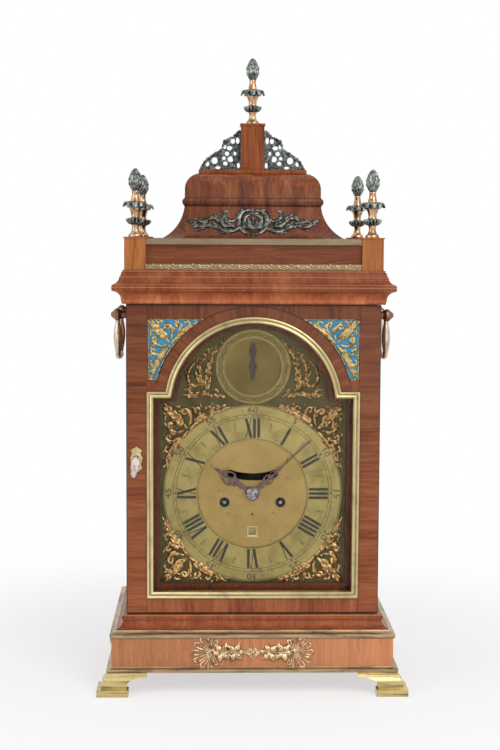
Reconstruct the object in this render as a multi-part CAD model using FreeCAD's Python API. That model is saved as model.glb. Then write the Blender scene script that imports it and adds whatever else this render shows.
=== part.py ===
"""Bracket clock with an inverted-bell top, a break-arch dial and a verge movement with fusees.

All lengths are in millimetres.  X runs to the right, Y to the back and Z up.  The origin is the
middle of the clock on the surface that its feet stand on, and the front door faces -Y.
"""
import FreeCAD, Part
import math
import os

os.makedirs("parts", exist_ok=True)
V = FreeCAD.Vector

# ---------------------------------------------------------------- driving dimensions
# Case body
CASE_W = 240.0
CASE_D = 166.0
CASE_H = 296.0
CASE_WALL = 9.0
# Heights of the base, from the feet up
FOOT_H = 20.8
LOW_BAND_H = 5.2
PLINTH_H = 27.0
HIGH_BAND_H = 7.2
BASE_MOULD_H = 13.3
# Overhangs beyond the case faces
FOOT_OUT = 27.2
LOW_BAND_OUT = 18.4
PLINTH_OUT = 13.8
HIGH_BAND_OUT = 15.4
BASE_OUT = 9.5
BEAD_OUT = 3.5
CORNICE_OUT = 12.8
# Feet, plinth and base walls
FOOT_LEN = 47.0
FOOT_PAD = 30.0
FOOT_T = 13.0
PLINTH_WALL = 12.0
PLINTH_FLOOR_IN = 3.8
# Cornice and gallery
CORNICE_H = 31.5
TOP_BOARD_T = 10.0
POST_SIDE = 20.0
POST_OUT = 1.4
POST_H = 29.8
POST_CAP_T = 1.2
POST_CAP_OUT = 0.9
GALLERY_H = 24.0
GALLERY_T = 7.0
GALLERY_IN = 4.0
GALLERY_STRIP_H = 5.8
GALLERY_STRIP_T = 1.2
RAIL_H = 5.8
RAIL_W = 9.0
# Bell top and pedestal
BELL_INSET = 33.0
BELL_NECK_IN = 20.8
BELL_BEAD_OUT = 1.2
BELL_CURVE_TOP = 60.6
BELL_BEAD_H = 8.4
BELL_SHOULDER_R = 16.0
BELL_SIDE_H = 8.0
CAP_PLATE_IN = 13.55
CAP_PLATE_T = 3.5
BLOCK_SIDE = 22.8
BLOCK_H = 43.0
BLOCK_CAP_T = 2.0
BLOCK_CAP_OUT = 0.9
TOP_FRET_END = 1.6
TOP_FRET_H = 39.0
TOP_FRET_T = 2.0
# Finials
FINIAL_H = 64.0
FINIAL_R = 12.8
FINIAL_FLATS = 16
# Cast mounts
LEAF_SHARE = 0.26
BELL_MOUNT_H = 30.0
BELL_MOUNT_T = 2.2
BELL_MOUNT_END = 3.2
MOUNT_HALF = 59.0
MOUNT_EDGE = 1.7
MOUNT_T = 2.0
# Doors
DOOR_T = 12.0
DOOR_GAP = 0.6
DOOR_END_GAP = 0.7
PIVOT_R = 1.5
PIVOT_FIT = 0.05
PIVOT_LEN = 6.0
PIVOT_IN_X = 2.5
PIVOT_IN_Y = 3.5
# Break arch, shared by door, mask and dial
STILE_W = 19.0
BOTTOM_RAIL = 14.9
ARCH_DROP = 95.9
SHOULDER_RISE = 13.5
BEZEL_R = 84.1
BEZEL_W = 7.0
BEZEL_PROUD = 2.2
BEZEL_LEG = 3.5
BEZEL_DEPTH = 6.0
GLASS_T = 2.0
GLASS_FIT = 0.2
BACK_STILE = 31.0
BACK_RAIL = 34.0
BACK_ARCH_R = 70.0
BACK_SHOULDER_DROP = 12.0
BACK_REBATE = 3.0
# Door frets
FRET_BAND = 10.0
FRET_SIDE_IN = 1.0
FRET_TOP_IN = 13.7
FRET_LAND = 10.4
FRET_FOOT = 8.9
FRET_T = 1.5
FRET_SUNK = 0.6
FRET_FIT = 0.1
CLOTH_T = 0.8
# Side windows
WINDOW_HALF = 40.0
WINDOW_RISE = 46.5
WINDOW_DROP = 133.5
WINDOW_PITCH = 18.0
WINDOW_DIAMOND = 6.4
WINDOW_BORDER = 5.0
# Dial
DIAL_DROP = 0.75
MASK_T = 5.0
MASK_REVEAL = 4.5
DIAL_LAP = 2.5
DIAL_T = 2.0
RING_T = 1.5
RING_MARGIN = 1.6
RING_W = 32.9
ARCH_RING_R = 35.6
ARCH_RING_W = 8.6
SPANDREL_T = 1.8
SPANDREL_GAP = 1.9
SPANDREL_FOOT_GAP = 4.0
SPANDREL_ARCH_GAP = 2.6
SPANDREL_ANGLE = 22.0
SPANDREL_SCALLOP = 1.2
WINDING_X = 26.9
WINDING_DROP = 8.8
WINDING_HOLE_R = 4.5
DATE_DROP = 37.4
DATE_SIDE = 6.5
DATE_RING_MARGIN = 3.9
DATE_RING_W = 9.5
DATE_RING_T = 1.0
SLOT_R = 69.2
SLOT_W = 7.0
SLOT_HALF_ANGLE = 18.0
SET_HOLE_DROP = 20.4
SET_HOLE_R = 1.0
# Hands
HAND_T = 0.8
HAND_STEP = 1.2
MINUTE_SHORT = 7.5
HOUR_SHORT = 2.6
MINUTE_HALF_W = 4.2
HOUR_HALF_W = 7.5
MINUTE_AT = 47.0
HOUR_AT = 300.0 + MINUTE_AT / 12.0
COLLET_R = 5.6
ARCH_HAND_LEN = 25.0
# Movement plates
DIAL_TO_PLATE = 17.4
PLATE_T = 2.5
PLATE_GAP = 58.0
PLATE_HALF = 66.0
PLATE_DROP = 65.0
PLATE_RISE = 97.0
PILLAR_R = 4.0
SEAT_T = 10.0
SEAT_RAIL_W = 9.0
SEAT_RAIL_H = 8.0
# Arbors and wheels
ARBOR_R = 1.2
PIVOT_SMALL = 0.8
RUN_FIT = 0.05
WHEEL_T = 2.0
PINION_T = 4.5
PINION_LEAVES = 6
GREAT_TEETH = 72
CENTRE_TEETH = 72
CONTRATE_TEETH = 72
CROWN_TEETH = 29
CANNON_TEETH = 20
HOUR_TEETH = 72
STRIKE_GREAT_TEETH = 60
PIN_WHEEL_TEETH = 48
LOCKING_TEETH = 42
TRAIN_MODULE = 0.7
STRIKE_MODULE = 0.72
PIN_MODULE = 0.75
LOCKING_MODULE = 0.65
MOTION_CENTRES = 21.0
HAMMER_PINS = 8
FUSEE_R = 17.0
FUSEE_TIP_R = 9.0
FUSEE_LEN = 36.0
FUSEE_TURNS = 7
FUSEE_GROOVE = 1.2
WINDING_SQUARE = 3.0
BARREL_X = 43.0
BARREL_DROP = 44.0
BARREL_R = 18.0
BARREL_LEN = 40.0
# Verge, pendulum and hour bell
VERGE_RISE = 85.0
CROWN_IN = 26.5
CROWN_R = 15.0
CONTRATE_R = 20.3
PENDULUM_OUT = 7.0
PENDULUM_LEN = 175.0
BOB_R = 18.0
MOCK_BOB_R = 4.2
BELL_R = 38.0
BELL_RISE = 12.0
BELL_H = 30.0
BELL_IN = 19.5
HAMMER_X = -48.0
HAMMER_RISE = 63.0
FLY_LEN = 18.0
FLY_SPAN = 22.0
# Handles
HANDLE_DROP = 12.5
HANDLE_Y = 36.0
HANDLE_OUT = 11.0
KNOB_R = 6.0
BAIL_R = 2.5
BAIL_DROP = 42.0
BAIL_BEND_R = 13.0
BAIL_COLLAR_LEN = 14.0
BAIL_PIN_R = 1.6
BACKPLATE_T = 1.5

# ---------------------------------------------------------------- levels that follow
HALF_W = CASE_W / 2
HALF_D = CASE_D / 2
LOW_BAND_TOP = FOOT_H + LOW_BAND_H
PLINTH_TOP = LOW_BAND_TOP + PLINTH_H
HIGH_BAND_TOP = PLINTH_TOP + HIGH_BAND_H
CASE_BOTTOM = HIGH_BAND_TOP + BASE_MOULD_H
CASE_TOP = CASE_BOTTOM + CASE_H
CORNICE_TOP = CASE_TOP + CORNICE_H
POST_TOP = CORNICE_TOP + POST_H
GALLERY_TOP = CORNICE_TOP + GALLERY_H
BELL_NECK_Z = CORNICE_TOP + BELL_CURVE_TOP
BELL_BEAD_TOP = BELL_NECK_Z + BELL_BEAD_H
BELL_TOP = BELL_BEAD_TOP + BELL_SIDE_H + BELL_SHOULDER_R
PEDESTAL_Z = BELL_TOP + CAP_PLATE_T
BLOCK_TOP = PEDESTAL_Z + BLOCK_H + BLOCK_CAP_T
FRONT_EDGE = -HALF_D + DOOR_T + DOOR_GAP
BACK_EDGE = -FRONT_EDGE
DIAL_FRONT = FRONT_EDGE + MASK_T
DIAL_BACK = DIAL_FRONT + DIAL_T
FRONT_PLATE = DIAL_BACK + DIAL_TO_PLATE
FRONT_PLATE_IN = FRONT_PLATE + PLATE_T
BACK_PLATE_IN = FRONT_PLATE_IN + PLATE_GAP
BACK_PLATE = BACK_PLATE_IN + PLATE_T
PIVOT_X = HALF_W - PIVOT_IN_X
PIVOT_Y = HALF_D - PIVOT_IN_Y
POST_X = HALF_W + POST_OUT - POST_SIDE / 2
POST_Y = HALF_D + POST_OUT - POST_SIDE / 2
BELL_FOOT_W = CASE_W - 2 * BELL_INSET
BELL_NECK_W = BELL_FOOT_W - 2 * BELL_NECK_IN
BELL_BEAD_W = BELL_NECK_W + 2 * BELL_BEAD_OUT
CAP_PLATE_W = BELL_NECK_W - 2 * CAP_PLATE_IN
TOP_FRET_LEN = (CAP_PLATE_W - BLOCK_SIDE) / 2 - TOP_FRET_END
HANDLE_Z = CASE_TOP - HANDLE_DROP
WINDOW_BOTTOM = CASE_BOTTOM + WINDOW_RISE
WINDOW_SPRING = CASE_TOP - WINDOW_DROP

# The arched opening of the door, and the mask's opening inside it
BEZEL_HALF = HALF_W - STILE_W
BEZEL_BOTTOM = CASE_BOTTOM + BOTTOM_RAIL
ARCH_Z = CASE_TOP - ARCH_DROP
BEZEL_SHOULDER = ARCH_Z + SHOULDER_RISE
FRET_R = BEZEL_R + FRET_BAND
FRET_SIDE = BEZEL_HALF - FRET_SIDE_IN
FRET_TOP = CASE_TOP - FRET_TOP_IN
FRET_RISE = math.sqrt(max(0.0, FRET_R**2 - (FRET_SIDE - FRET_FOOT) ** 2))
FRET_BOTTOM = ARCH_Z + max(SHOULDER_RISE + FRET_LAND, FRET_RISE)
OPEN_IN = BEZEL_W + MASK_REVEAL
OPEN_HALF = BEZEL_HALF - OPEN_IN
OPEN_BOTTOM = BEZEL_BOTTOM + OPEN_IN
OPEN_SHOULDER = BEZEL_SHOULDER - OPEN_IN
OPEN_R = BEZEL_R - OPEN_IN

# The dial's centre and rings fill the mask's opening, and the movement hangs from the dial's centre
DIAL_Z = (OPEN_BOTTOM + OPEN_SHOULDER) / 2 - DIAL_DROP
RING_R = min(OPEN_HALF, DIAL_Z - OPEN_BOTTOM) - RING_MARGIN
RING_IN_R = RING_R - RING_W
ARCH_RING_IN_R = ARCH_RING_R - ARCH_RING_W
ARCH_RING_Z = ARCH_Z + OPEN_R - RING_MARGIN - ARCH_RING_R
MINUTE_LEN = RING_R - MINUTE_SHORT
HOUR_LEN = RING_IN_R - HOUR_SHORT
WINDING_Z = DIAL_Z - WINDING_DROP
DATE_Z = DIAL_Z - DATE_DROP
DATE_RING_IN = DATE_DROP - DATE_RING_MARGIN
DATE_RING_OUT = DATE_RING_IN + DATE_RING_W
SET_HOLE_Z = DIAL_Z - SET_HOLE_DROP
PLATE_BOTTOM = DIAL_Z - PLATE_DROP
PLATE_TOP = DIAL_Z + PLATE_RISE
BARREL_Z = DIAL_Z - BARREL_DROP
VERGE_Z = DIAL_Z + VERGE_RISE
BELL_RIM_Z = PLATE_TOP + BELL_RISE
HAMMER_Z = DIAL_Z + HAMMER_RISE
CROWN_Y = BACK_PLATE_IN - CROWN_IN
PENDULUM_Y = BACK_PLATE + PENDULUM_OUT

# Wheel places: each wheel's centre follows from the teeth that it shares with its pinion
GREAT_CENTRES = math.hypot(WINDING_X, DIAL_Z - WINDING_Z)
GREAT_MODULE = 2 * GREAT_CENTRES / (GREAT_TEETH + PINION_LEAVES)
MOTION_MODULE = MOTION_CENTRES / CANNON_TEETH
HOUR_MODULE = 2 * MOTION_CENTRES / (HOUR_TEETH + PINION_LEAVES)
CONTRATE_Z = DIAL_Z + TRAIN_MODULE * (CENTRE_TEETH + PINION_LEAVES) / 2
PIN_CENTRES = STRIKE_MODULE * (STRIKE_GREAT_TEETH + PINION_LEAVES) / 2
PIN_TURN = math.radians(-19.5)
PIN_X = -WINDING_X + PIN_CENTRES * math.sin(PIN_TURN)
PIN_Z = WINDING_Z + PIN_CENTRES * math.cos(PIN_TURN)
LOCKING_CENTRES = PIN_MODULE * (PIN_WHEEL_TEETH + PINION_LEAVES) / 2
LOCKING_TURN = math.radians(20.0)
LOCKING_X = PIN_X + LOCKING_CENTRES * math.sin(LOCKING_TURN)
LOCKING_Z = PIN_Z + LOCKING_CENTRES * math.cos(LOCKING_TURN)
FLY_CENTRES = LOCKING_MODULE * (LOCKING_TEETH + PINION_LEAVES) / 2
FLY_TURN = math.radians(-30.0)
FLY_X = LOCKING_X + FLY_CENTRES * math.sin(FLY_TURN)
FLY_Z = LOCKING_Z + FLY_CENTRES * math.cos(FLY_TURN)

# Depths of the wheels between the plates, clear of one another
GREAT_Y = BACK_PLATE_IN - 8.5
CENTRE_WHEEL_Y = FRONT_PLATE_IN + 8.5
PIN_WHEEL_Y = FRONT_PLATE_IN + 1.5
LOCKING_Y = FRONT_PLATE_IN + 18.5
CONTRATE_Y = CROWN_Y + 7.0
FUSEE_FRONT = GREAT_Y - FUSEE_LEN
BARREL_FRONT = GREAT_Y - 2.0 - BARREL_LEN
# Depths between the dial and the front plate
HOUR_WHEEL_Y = DIAL_BACK + 4.9
CANNON_Y = DIAL_BACK + 8.9
MOCK_BOB_Y = DIAL_BACK + 2.8
MINUTE_COCK_Y = DIAL_BACK + 1.8


# ---------------------------------------------------------------- shared shape helpers
def box(x0, x1, y0, y1, z0, z1):
    """Block between two corners."""
    return Part.makeBox(x1 - x0, y1 - y0, z1 - z0, V(x0, y0, z0))


def rod_x(y, z, radius, x0, x1):
    """Round bar along X."""
    return Part.makeCylinder(radius, x1 - x0, V(x0, y, z), V(1, 0, 0))


def rod_y(x, z, radius, y0, y1):
    """Round bar along Y."""
    return Part.makeCylinder(radius, y1 - y0, V(x, y0, z), V(0, 1, 0))


def rod_z(x, y, radius, z0, z1):
    """Round bar along Z."""
    return Part.makeCylinder(radius, z1 - z0, V(x, y, z0), V(0, 0, 1))


def joined(shapes):
    """One solid from shapes that meet."""
    whole = shapes[0].fuse(shapes[1:])
    return whole.removeSplitter()


def without(shape, tools):
    """The shape with every tool cut out of it."""
    return shape.cut(Part.makeCompound(tools))


def save(node, shapes):
    """Writes one node, which may hold several separate solids."""
    shape = Part.makeCompound(shapes) if isinstance(shapes, list) else shapes
    print(node, len(shape.Solids), "solid(s)", round(shape.Volume), "mm3")
    shape.exportStep("parts/" + node + ".step")


def outline(points, place):
    """Closed wire through points (a, b) or (a, b, bow); an arc to a point bows to the left by bow."""
    edges = []
    for start, end in zip(points, points[1:] + points[:1]):
        run = math.hypot(end[0] - start[0], end[1] - start[1])
        if run < 1e-6:
            continue
        p = place(start[0], start[1])
        q = place(end[0], end[1])
        bow = end[2] if len(end) > 2 else 0
        if bow:
            a = (start[0] + end[0]) / 2 - bow * (end[1] - start[1]) / run
            b = (start[1] + end[1]) / 2 + bow * (end[0] - start[0]) / run
            edges.append(Part.Arc(p, place(a, b), q).toShape())
        else:
            edges.append(Part.LineSegment(p, q).toShape())
    return Part.Wire(edges)


def slab_x(points, x0, x1):
    """Outline in (y, z), drawn out along X."""
    face = Part.Face(outline(points, lambda a, b: V(x0, a, b)))
    return face.extrude(V(x1 - x0, 0, 0))


def slab_y(points, y0, y1):
    """Outline in (x, z), drawn out along Y."""
    face = Part.Face(outline(points, lambda a, b: V(a, y0, b)))
    return face.extrude(V(0, y1 - y0, 0))


def slab_z(points, z0, z1):
    """Outline in (x, y), drawn out along Z."""
    face = Part.Face(outline(points, lambda a, b: V(a, b, z0)))
    return face.extrude(V(0, 0, z1 - z0))


def turned_z(x, y, z, steps):
    """Body of revolution about a vertical axis; steps are (radius, height) or (radius, height, bow)."""
    points = [(0, steps[0][1])] + steps + [(0, steps[-1][1])]
    face = Part.Face(outline(points, lambda a, b: V(x + a, y, z + b)))
    return face.revolve(V(x, y, z), V(0, 0, 1), 360)


def turned_y(x, z, steps):
    """Body of revolution about an axis along Y; steps are (radius, y) or (radius, y, bow)."""
    points = [(0, steps[0][1])] + steps + [(0, steps[-1][1])]
    face = Part.Face(outline(points, lambda a, b: V(x + a, b, z)))
    return face.revolve(V(x, 0, z), V(0, 1, 0), 360)


def turned_x(y, z, steps):
    """Body of revolution about an axis along X; steps are (radius, x) or (radius, x, bow)."""
    points = [(0, steps[0][1])] + steps + [(0, steps[-1][1])]
    face = Part.Face(outline(points, lambda a, b: V(b, y, z + a)))
    return face.revolve(V(0, y, z), V(1, 0, 0), 360)


def leaf_gap(x, z, length, lean, y0, y1):
    """Cutter for a leaf-shaped gap; it leans clockwise from upright, in degrees."""
    angle = math.radians(lean)
    dx = math.sin(angle) * length / 2
    dz = math.cos(angle) * length / 2
    return slab_y([(x - dx, z - dz, length * LEAF_SHARE), (x + dx, z + dz, length * LEAF_SHARE)], y0, y1)


def mirror_x(shape):
    return shape.mirror(V(0, 0, 0), V(1, 0, 0))


def mirror_y(shape):
    return shape.mirror(V(0, 0, 0), V(0, 1, 0))


def four(shape):
    """A corner piece and its three mirror images."""
    back = mirror_y(shape)
    return [shape, mirror_x(shape), back, mirror_x(back)]


def clock_turn(shape, x, z, degrees):
    """Turns a shape clockwise, as seen from the front, about the axis along Y through x, z."""
    turned = shape.copy()
    turned.rotate(V(x, 0, z), V(0, 1, 0), degrees)
    return turned


def mitred(half_w, half_d, steps):
    """Block with mitred corners; steps up its profile are (outward, height) or (outward, height, bow)."""
    reach = max(step[0] for step in steps) + 1
    blocks = []
    for half, along, slab in ((half_w, half_d, slab_y), (half_d, half_w, slab_x)):
        points = [(half + step[0],) + tuple(step[1:]) for step in steps]
        for index in range(len(steps) - 1, -1, -1):
            later = steps[index + 1] if index + 1 < len(steps) else (0, 0)
            bow = later[2] if len(later) > 2 else 0
            points.append((-half - steps[index][0], steps[index][1], bow))
        blocks.append(slab(points, -along - reach, along + reach))
    return blocks[0].common(blocks[1])


def case_ring(steps, inner):
    """Mitred moulding round the case, open inside from `inner` beyond the case faces."""
    low = steps[0][1]
    high = steps[-1][1]
    hollow = box(-HALF_W - inner, HALF_W + inner, -HALF_D - inner, HALF_D + inner, low, high)
    return mitred(HALF_W, HALF_D, steps).cut(hollow)


def break_arch(inset, y0, y1):
    """Panel with a break-arch top, `inset` inside the bezel's outer edge."""
    half = BEZEL_HALF - inset
    shoulder = BEZEL_SHOULDER - inset
    return arch_panel(half, BEZEL_BOTTOM + inset, shoulder, BEZEL_R - inset, y0, y1)


def arch_panel(half, bottom, shoulder, radius, y0, y1):
    """Rectangle with shoulders and an arch about ARCH_Z."""
    spring = math.sqrt(radius**2 - (shoulder - ARCH_Z) ** 2)
    rise = ARCH_Z + radius - shoulder
    points = [
        (-half, bottom),
        (half, bottom),
        (half, shoulder),
        (spring, shoulder),
        (-spring, shoulder, -rise),
        (-half, shoulder),
    ]
    return slab_y(points, y0, y1)


# ---------------------------------------------------------------- base
def foot():
    """Front right stepped bracket foot, cast as a corner piece."""
    step = FOOT_H * 0.32
    neck = FOOT_H * 0.58
    wing = FOOT_H * 0.78
    lean = FOOT_OUT - LOW_BAND_OUT
    profile = [
        (0, 0),
        (FOOT_PAD, 0),
        (FOOT_PAD, step),
        (FOOT_PAD - 1.5, step),
        (FOOT_PAD - 1.5, neck),
        (FOOT_LEN, wing, 2.0),
        (FOOT_LEN, FOOT_H),
        (lean, FOOT_H),
        (lean * 0.45, neck, 1.2),
        (lean * 0.45, step),
        (0, step),
    ]
    corner_x = HALF_W + FOOT_OUT
    corner_y = HALF_D + FOOT_OUT
    front = slab_y([(corner_x - p[0],) + p[1:2] + tuple(-b for b in p[2:]) for p in profile],
                   -corner_y, -corner_y + FOOT_LEN)
    side = slab_x([(-corner_y + p[0],) + p[1:] for p in profile], corner_x - FOOT_LEN, corner_x)
    inside = box(corner_x - FOOT_LEN - 1, corner_x - FOOT_T, -corner_y + FOOT_T,
                 -corner_y + FOOT_LEN + 1, -1, FOOT_H + 1)
    return front.common(side).cut(inside)


def plinth():
    """Plinth box, open at the top, with its floor let into the lower band."""
    walls = case_ring([(PLINTH_OUT, LOW_BAND_TOP), (PLINTH_OUT, PLINTH_TOP)], PLINTH_OUT - PLINTH_WALL)
    edge = PLINTH_OUT - PLINTH_FLOOR_IN
    floor = box(-HALF_W - edge, HALF_W + edge, -HALF_D - edge, HALF_D + edge, FOOT_H, LOW_BAND_TOP)
    return joined([walls, floor])


def base_bands():
    """Brass mouldings below and above the plinth panel."""
    low = case_ring([
        (LOW_BAND_OUT - 1.0, FOOT_H),
        (LOW_BAND_OUT, FOOT_H + 1.0, 0.3),
        (LOW_BAND_OUT, LOW_BAND_TOP - 1.6),
        (PLINTH_OUT + 0.6, LOW_BAND_TOP, 0.6),
    ], PLINTH_OUT - PLINTH_FLOOR_IN)
    high = case_ring([
        (PLINTH_OUT + 0.4, PLINTH_TOP),
        (HIGH_BAND_OUT, PLINTH_TOP + HIGH_BAND_H * 0.35, -0.4),
        (HIGH_BAND_OUT, PLINTH_TOP + HIGH_BAND_H * 0.6),
        (BASE_OUT + 0.5, HIGH_BAND_TOP, 0.8),
    ], PLINTH_OUT - PLINTH_WALL)
    return [low, high]


def door_pivot_holes(low, high, radius):
    """Four holes on the two door axes."""
    return [rod_z(PIVOT_X, side * PIVOT_Y, radius, low, high) for side in (-1, 1)]


def base_moulding():
    """Wooden moulding that carries the case sides, with a bead at its top."""
    bead = BASE_MOULD_H * 0.44
    ring = case_ring([
        (BASE_OUT, HIGH_BAND_TOP),
        (BASE_OUT, HIGH_BAND_TOP + 1.0),
        (BEAD_OUT, CASE_BOTTOM - bead, 1.4),
        (BEAD_OUT, CASE_BOTTOM - bead + 0.6),
        (BEAD_OUT, CASE_BOTTOM, -0.9),
    ], -CASE_WALL)
    return without(ring, door_pivot_holes(CASE_BOTTOM - PIVOT_LEN, CASE_BOTTOM + 1, PIVOT_R))


# ---------------------------------------------------------------- case body
def window_outline(grow):
    """Arch-topped side window, in (y, z)."""
    half = WINDOW_HALF + grow
    return [
        (-half, WINDOW_BOTTOM - grow),
        (half, WINDOW_BOTTOM - grow),
        (half, WINDOW_SPRING),
        (-half, WINDOW_SPRING, -half),
    ]


def case_side():
    """Right side with its sound window and the rail that the seat board rests on."""
    inner = HALF_W - CASE_WALL
    panel = box(inner, HALF_W, FRONT_EDGE, BACK_EDGE, CASE_BOTTOM, CASE_TOP)
    panel = panel.cut(slab_x(window_outline(0), inner - 1, HALF_W + 1))
    rail_top = PLATE_BOTTOM - SEAT_T
    rail = box(inner - SEAT_RAIL_W, inner, FRONT_PLATE, BACK_PLATE, rail_top - SEAT_RAIL_H, rail_top)
    return joined([panel, rail])


def side_fret():
    """Right sound fret: an arched border filled with a lattice of diamonds."""
    face = HALF_W - FRET_SUNK
    fret = slab_x(window_outline(-FRET_FIT), face - FRET_T, face)
    pitch = WINDOW_PITCH
    size = WINDOW_DIAMOND
    holes = []
    rows = int((WINDOW_SPRING + WINDOW_HALF - WINDOW_BOTTOM) / pitch * 2)
    for row in range(rows):
        z = WINDOW_BOTTOM + WINDOW_BORDER + size + row * pitch / 2
        shift = pitch / 2 if row % 2 else 0.0
        for column in range(-2, 3):
            y = column * pitch + shift
            far = math.hypot(y, max(0.0, z - WINDOW_SPRING)) + size
            if far > WINDOW_HALF - WINDOW_BORDER + 0.5:
                continue
            diamond = [(y - size, z), (y, z - size), (y + size, z), (y, z + size)]
            holes.append(slab_x(diamond, face - FRET_T - 1, face + 1))
    return without(fret, holes)


def side_cloth():
    """Cloth behind the right sound fret."""
    face = HALF_W - FRET_SUNK - FRET_T
    return slab_x(window_outline(-FRET_FIT), face - CLOTH_T, face)


def cornice():
    """Cornice moulding in one with the top board that closes the case."""
    height = CORNICE_H
    tip = CORNICE_OUT
    block = mitred(HALF_W, HALF_D, [
        (3.5, CASE_TOP),
        (4.5, CASE_TOP + height * 0.12),
        (tip - 1.8, CASE_TOP + height * 0.38, 2.0),
        (tip, CASE_TOP + height * 0.41),
        (tip, CASE_TOP + height * 0.55),
        (tip - 1.8, CASE_TOP + height * 0.59),
        (6.0, CASE_TOP + height * 0.75, 0.9),
        (6.0, CASE_TOP + height * 0.79),
        (4.2, CASE_TOP + height * 0.93, 0.5),
        (3.1, CASE_TOP + height * 0.95),
        (3.1, CORNICE_TOP),
    ])
    inner_w = HALF_W - CASE_WALL
    inner_d = HALF_D - CASE_WALL
    hollow = box(-inner_w, inner_w, -inner_d, inner_d, CASE_TOP, CORNICE_TOP - TOP_BOARD_T)
    holes = door_pivot_holes(CASE_TOP - 1, CASE_TOP + PIVOT_LEN, PIVOT_R)
    return without(block, [hollow] + holes)


def dial_mask():
    """Board behind the door that frames the dial."""
    half = HALF_W - CASE_WALL
    board = box(-half, half, FRONT_EDGE, DIAL_FRONT, CASE_BOTTOM, CASE_TOP)
    return board.cut(break_arch(BEZEL_W + MASK_REVEAL, FRONT_EDGE - 1, DIAL_FRONT + 1))


def door_pivots():
    """Steel pins that both doors turn on, let into the cornice and the base moulding."""
    pins = []
    for side in (-1, 1):
        y = side * PIVOT_Y
        pins.append(rod_z(PIVOT_X, y, PIVOT_R, CASE_BOTTOM - PIVOT_LEN, CASE_BOTTOM + PIVOT_LEN))
        pins.append(rod_z(PIVOT_X, y, PIVOT_R, CASE_TOP - PIVOT_LEN, CASE_TOP + PIVOT_LEN))
    return pins


# ---------------------------------------------------------------- gallery and top
def corner_post():
    """Front right gallery post with its thin cap."""
    half = POST_SIDE / 2
    body = box(POST_X - half, POST_X + half, -POST_Y - half, -POST_Y + half, CORNICE_TOP, POST_TOP)
    cap = half + POST_CAP_OUT
    plate = box(POST_X - cap, POST_X + cap, -POST_Y - cap, -POST_Y + cap, POST_TOP, POST_TOP + POST_CAP_T)
    return joined([body, plate])


def gallery_runs(inset, width, low, high):
    """Four straight bars between the posts; `inset` is measured in from the posts' outer faces."""
    end_x = POST_X - POST_SIDE / 2
    end_y = POST_Y - POST_SIDE / 2
    out_x = POST_X + POST_SIDE / 2 - inset
    out_y = POST_Y + POST_SIDE / 2 - inset
    front = box(-end_x, end_x, -out_y, -out_y + width, low, high)
    right = box(out_x - width, out_x, -end_y, end_y, low, high)
    return [front, mirror_y(front), right, mirror_x(right)]


def gallery_brass():
    """Worked strip along the foot of each gallery panel and the rail on top of it."""
    strips = gallery_runs(GALLERY_IN - GALLERY_STRIP_T, GALLERY_STRIP_T, CORNICE_TOP,
                          CORNICE_TOP + GALLERY_STRIP_H)
    rails = gallery_runs(GALLERY_IN - 1.5, RAIL_W, GALLERY_TOP, GALLERY_TOP + RAIL_H)
    rounded = [rail.makeFillet(1.2, long_top_edges(rail)) for rail in rails]
    return strips + rounded


def long_top_edges(bar):
    """The two long edges along the top of a straight bar."""
    high = bar.BoundBox.ZMax
    longest = max(edge.Length for edge in bar.Edges)
    return [e for e in bar.Edges if e.BoundBox.ZMin > high - 1e-3 and e.Length > longest - 1e-3]


def bell_top():
    """Inverted-bell caddy: a hollow flare, a bead and a rounded shoulder."""
    foot = (BELL_FOOT_W - CASE_W) / 2
    neck = (BELL_NECK_W - CASE_W) / 2
    bead = (BELL_BEAD_W - CASE_W) / 2
    rail = GALLERY_TOP + RAIL_H
    return mitred(HALF_W, HALF_D, [
        (foot, CORNICE_TOP),
        (foot, rail),
        (neck, BELL_NECK_Z, 4.7),
        (bead, BELL_NECK_Z + 1.6),
        (bead, BELL_BEAD_TOP - 1.6, -1.0),
        (neck - 0.3, BELL_BEAD_TOP),
        (neck - 0.3, BELL_BEAD_TOP + BELL_SIDE_H),
        (neck - 0.3 - BELL_SHOULDER_R, BELL_TOP, -BELL_SHOULDER_R * (1 - math.sqrt(0.5))),
    ])


def top_pedestal():
    """Cap plate and square block that carry the top finial."""
    plate_out = (CAP_PLATE_W - CASE_W) / 2
    half = BLOCK_SIDE / 2
    plate = box(-HALF_W - plate_out, HALF_W + plate_out, -HALF_D - plate_out, HALF_D + plate_out,
                BELL_TOP, PEDESTAL_Z)
    block = box(-half, half, -half, half, PEDESTAL_Z, PEDESTAL_Z + BLOCK_H)
    cap = half + BLOCK_CAP_OUT
    lid = box(-cap, cap, -cap, cap, PEDESTAL_Z + BLOCK_H, BLOCK_TOP)
    return joined([plate, block, lid])


def top_fret():
    """Right pierced quarter-arch beside the pedestal block."""
    start = BLOCK_SIDE / 2
    length = TOP_FRET_LEN
    height = TOP_FRET_H
    z = PEDESTAL_Z
    bow = height / 15
    points = [
        (start, z),
        (start + length, z),
        (start + length * 0.93, z + height * 0.33, -bow),
        (start + length * 0.72, z + height * 0.62, -bow),
        (start + length * 0.42, z + height * 0.84, -bow),
        (start, z + height, -bow),
    ]
    fret = slab_y(points, -TOP_FRET_T / 2, TOP_FRET_T / 2)
    holes = []
    for along, up, share, lean in ((0.18, 0.2, 0.26, 0.0), (0.48, 0.19, 0.24, 30.0), (0.78, 0.17, 0.2, 60.0),
                                   (0.17, 0.52, 0.26, 0.0), (0.46, 0.51, 0.26, 40.0), (0.7, 0.43, 0.15, 50.0),
                                   (0.17, 0.8, 0.18, 20.0)):
        holes.append(leaf_gap(start + length * along, z + height * up, height * share, lean,
                              -TOP_FRET_T, TOP_FRET_T))
    return without(fret, holes)


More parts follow.
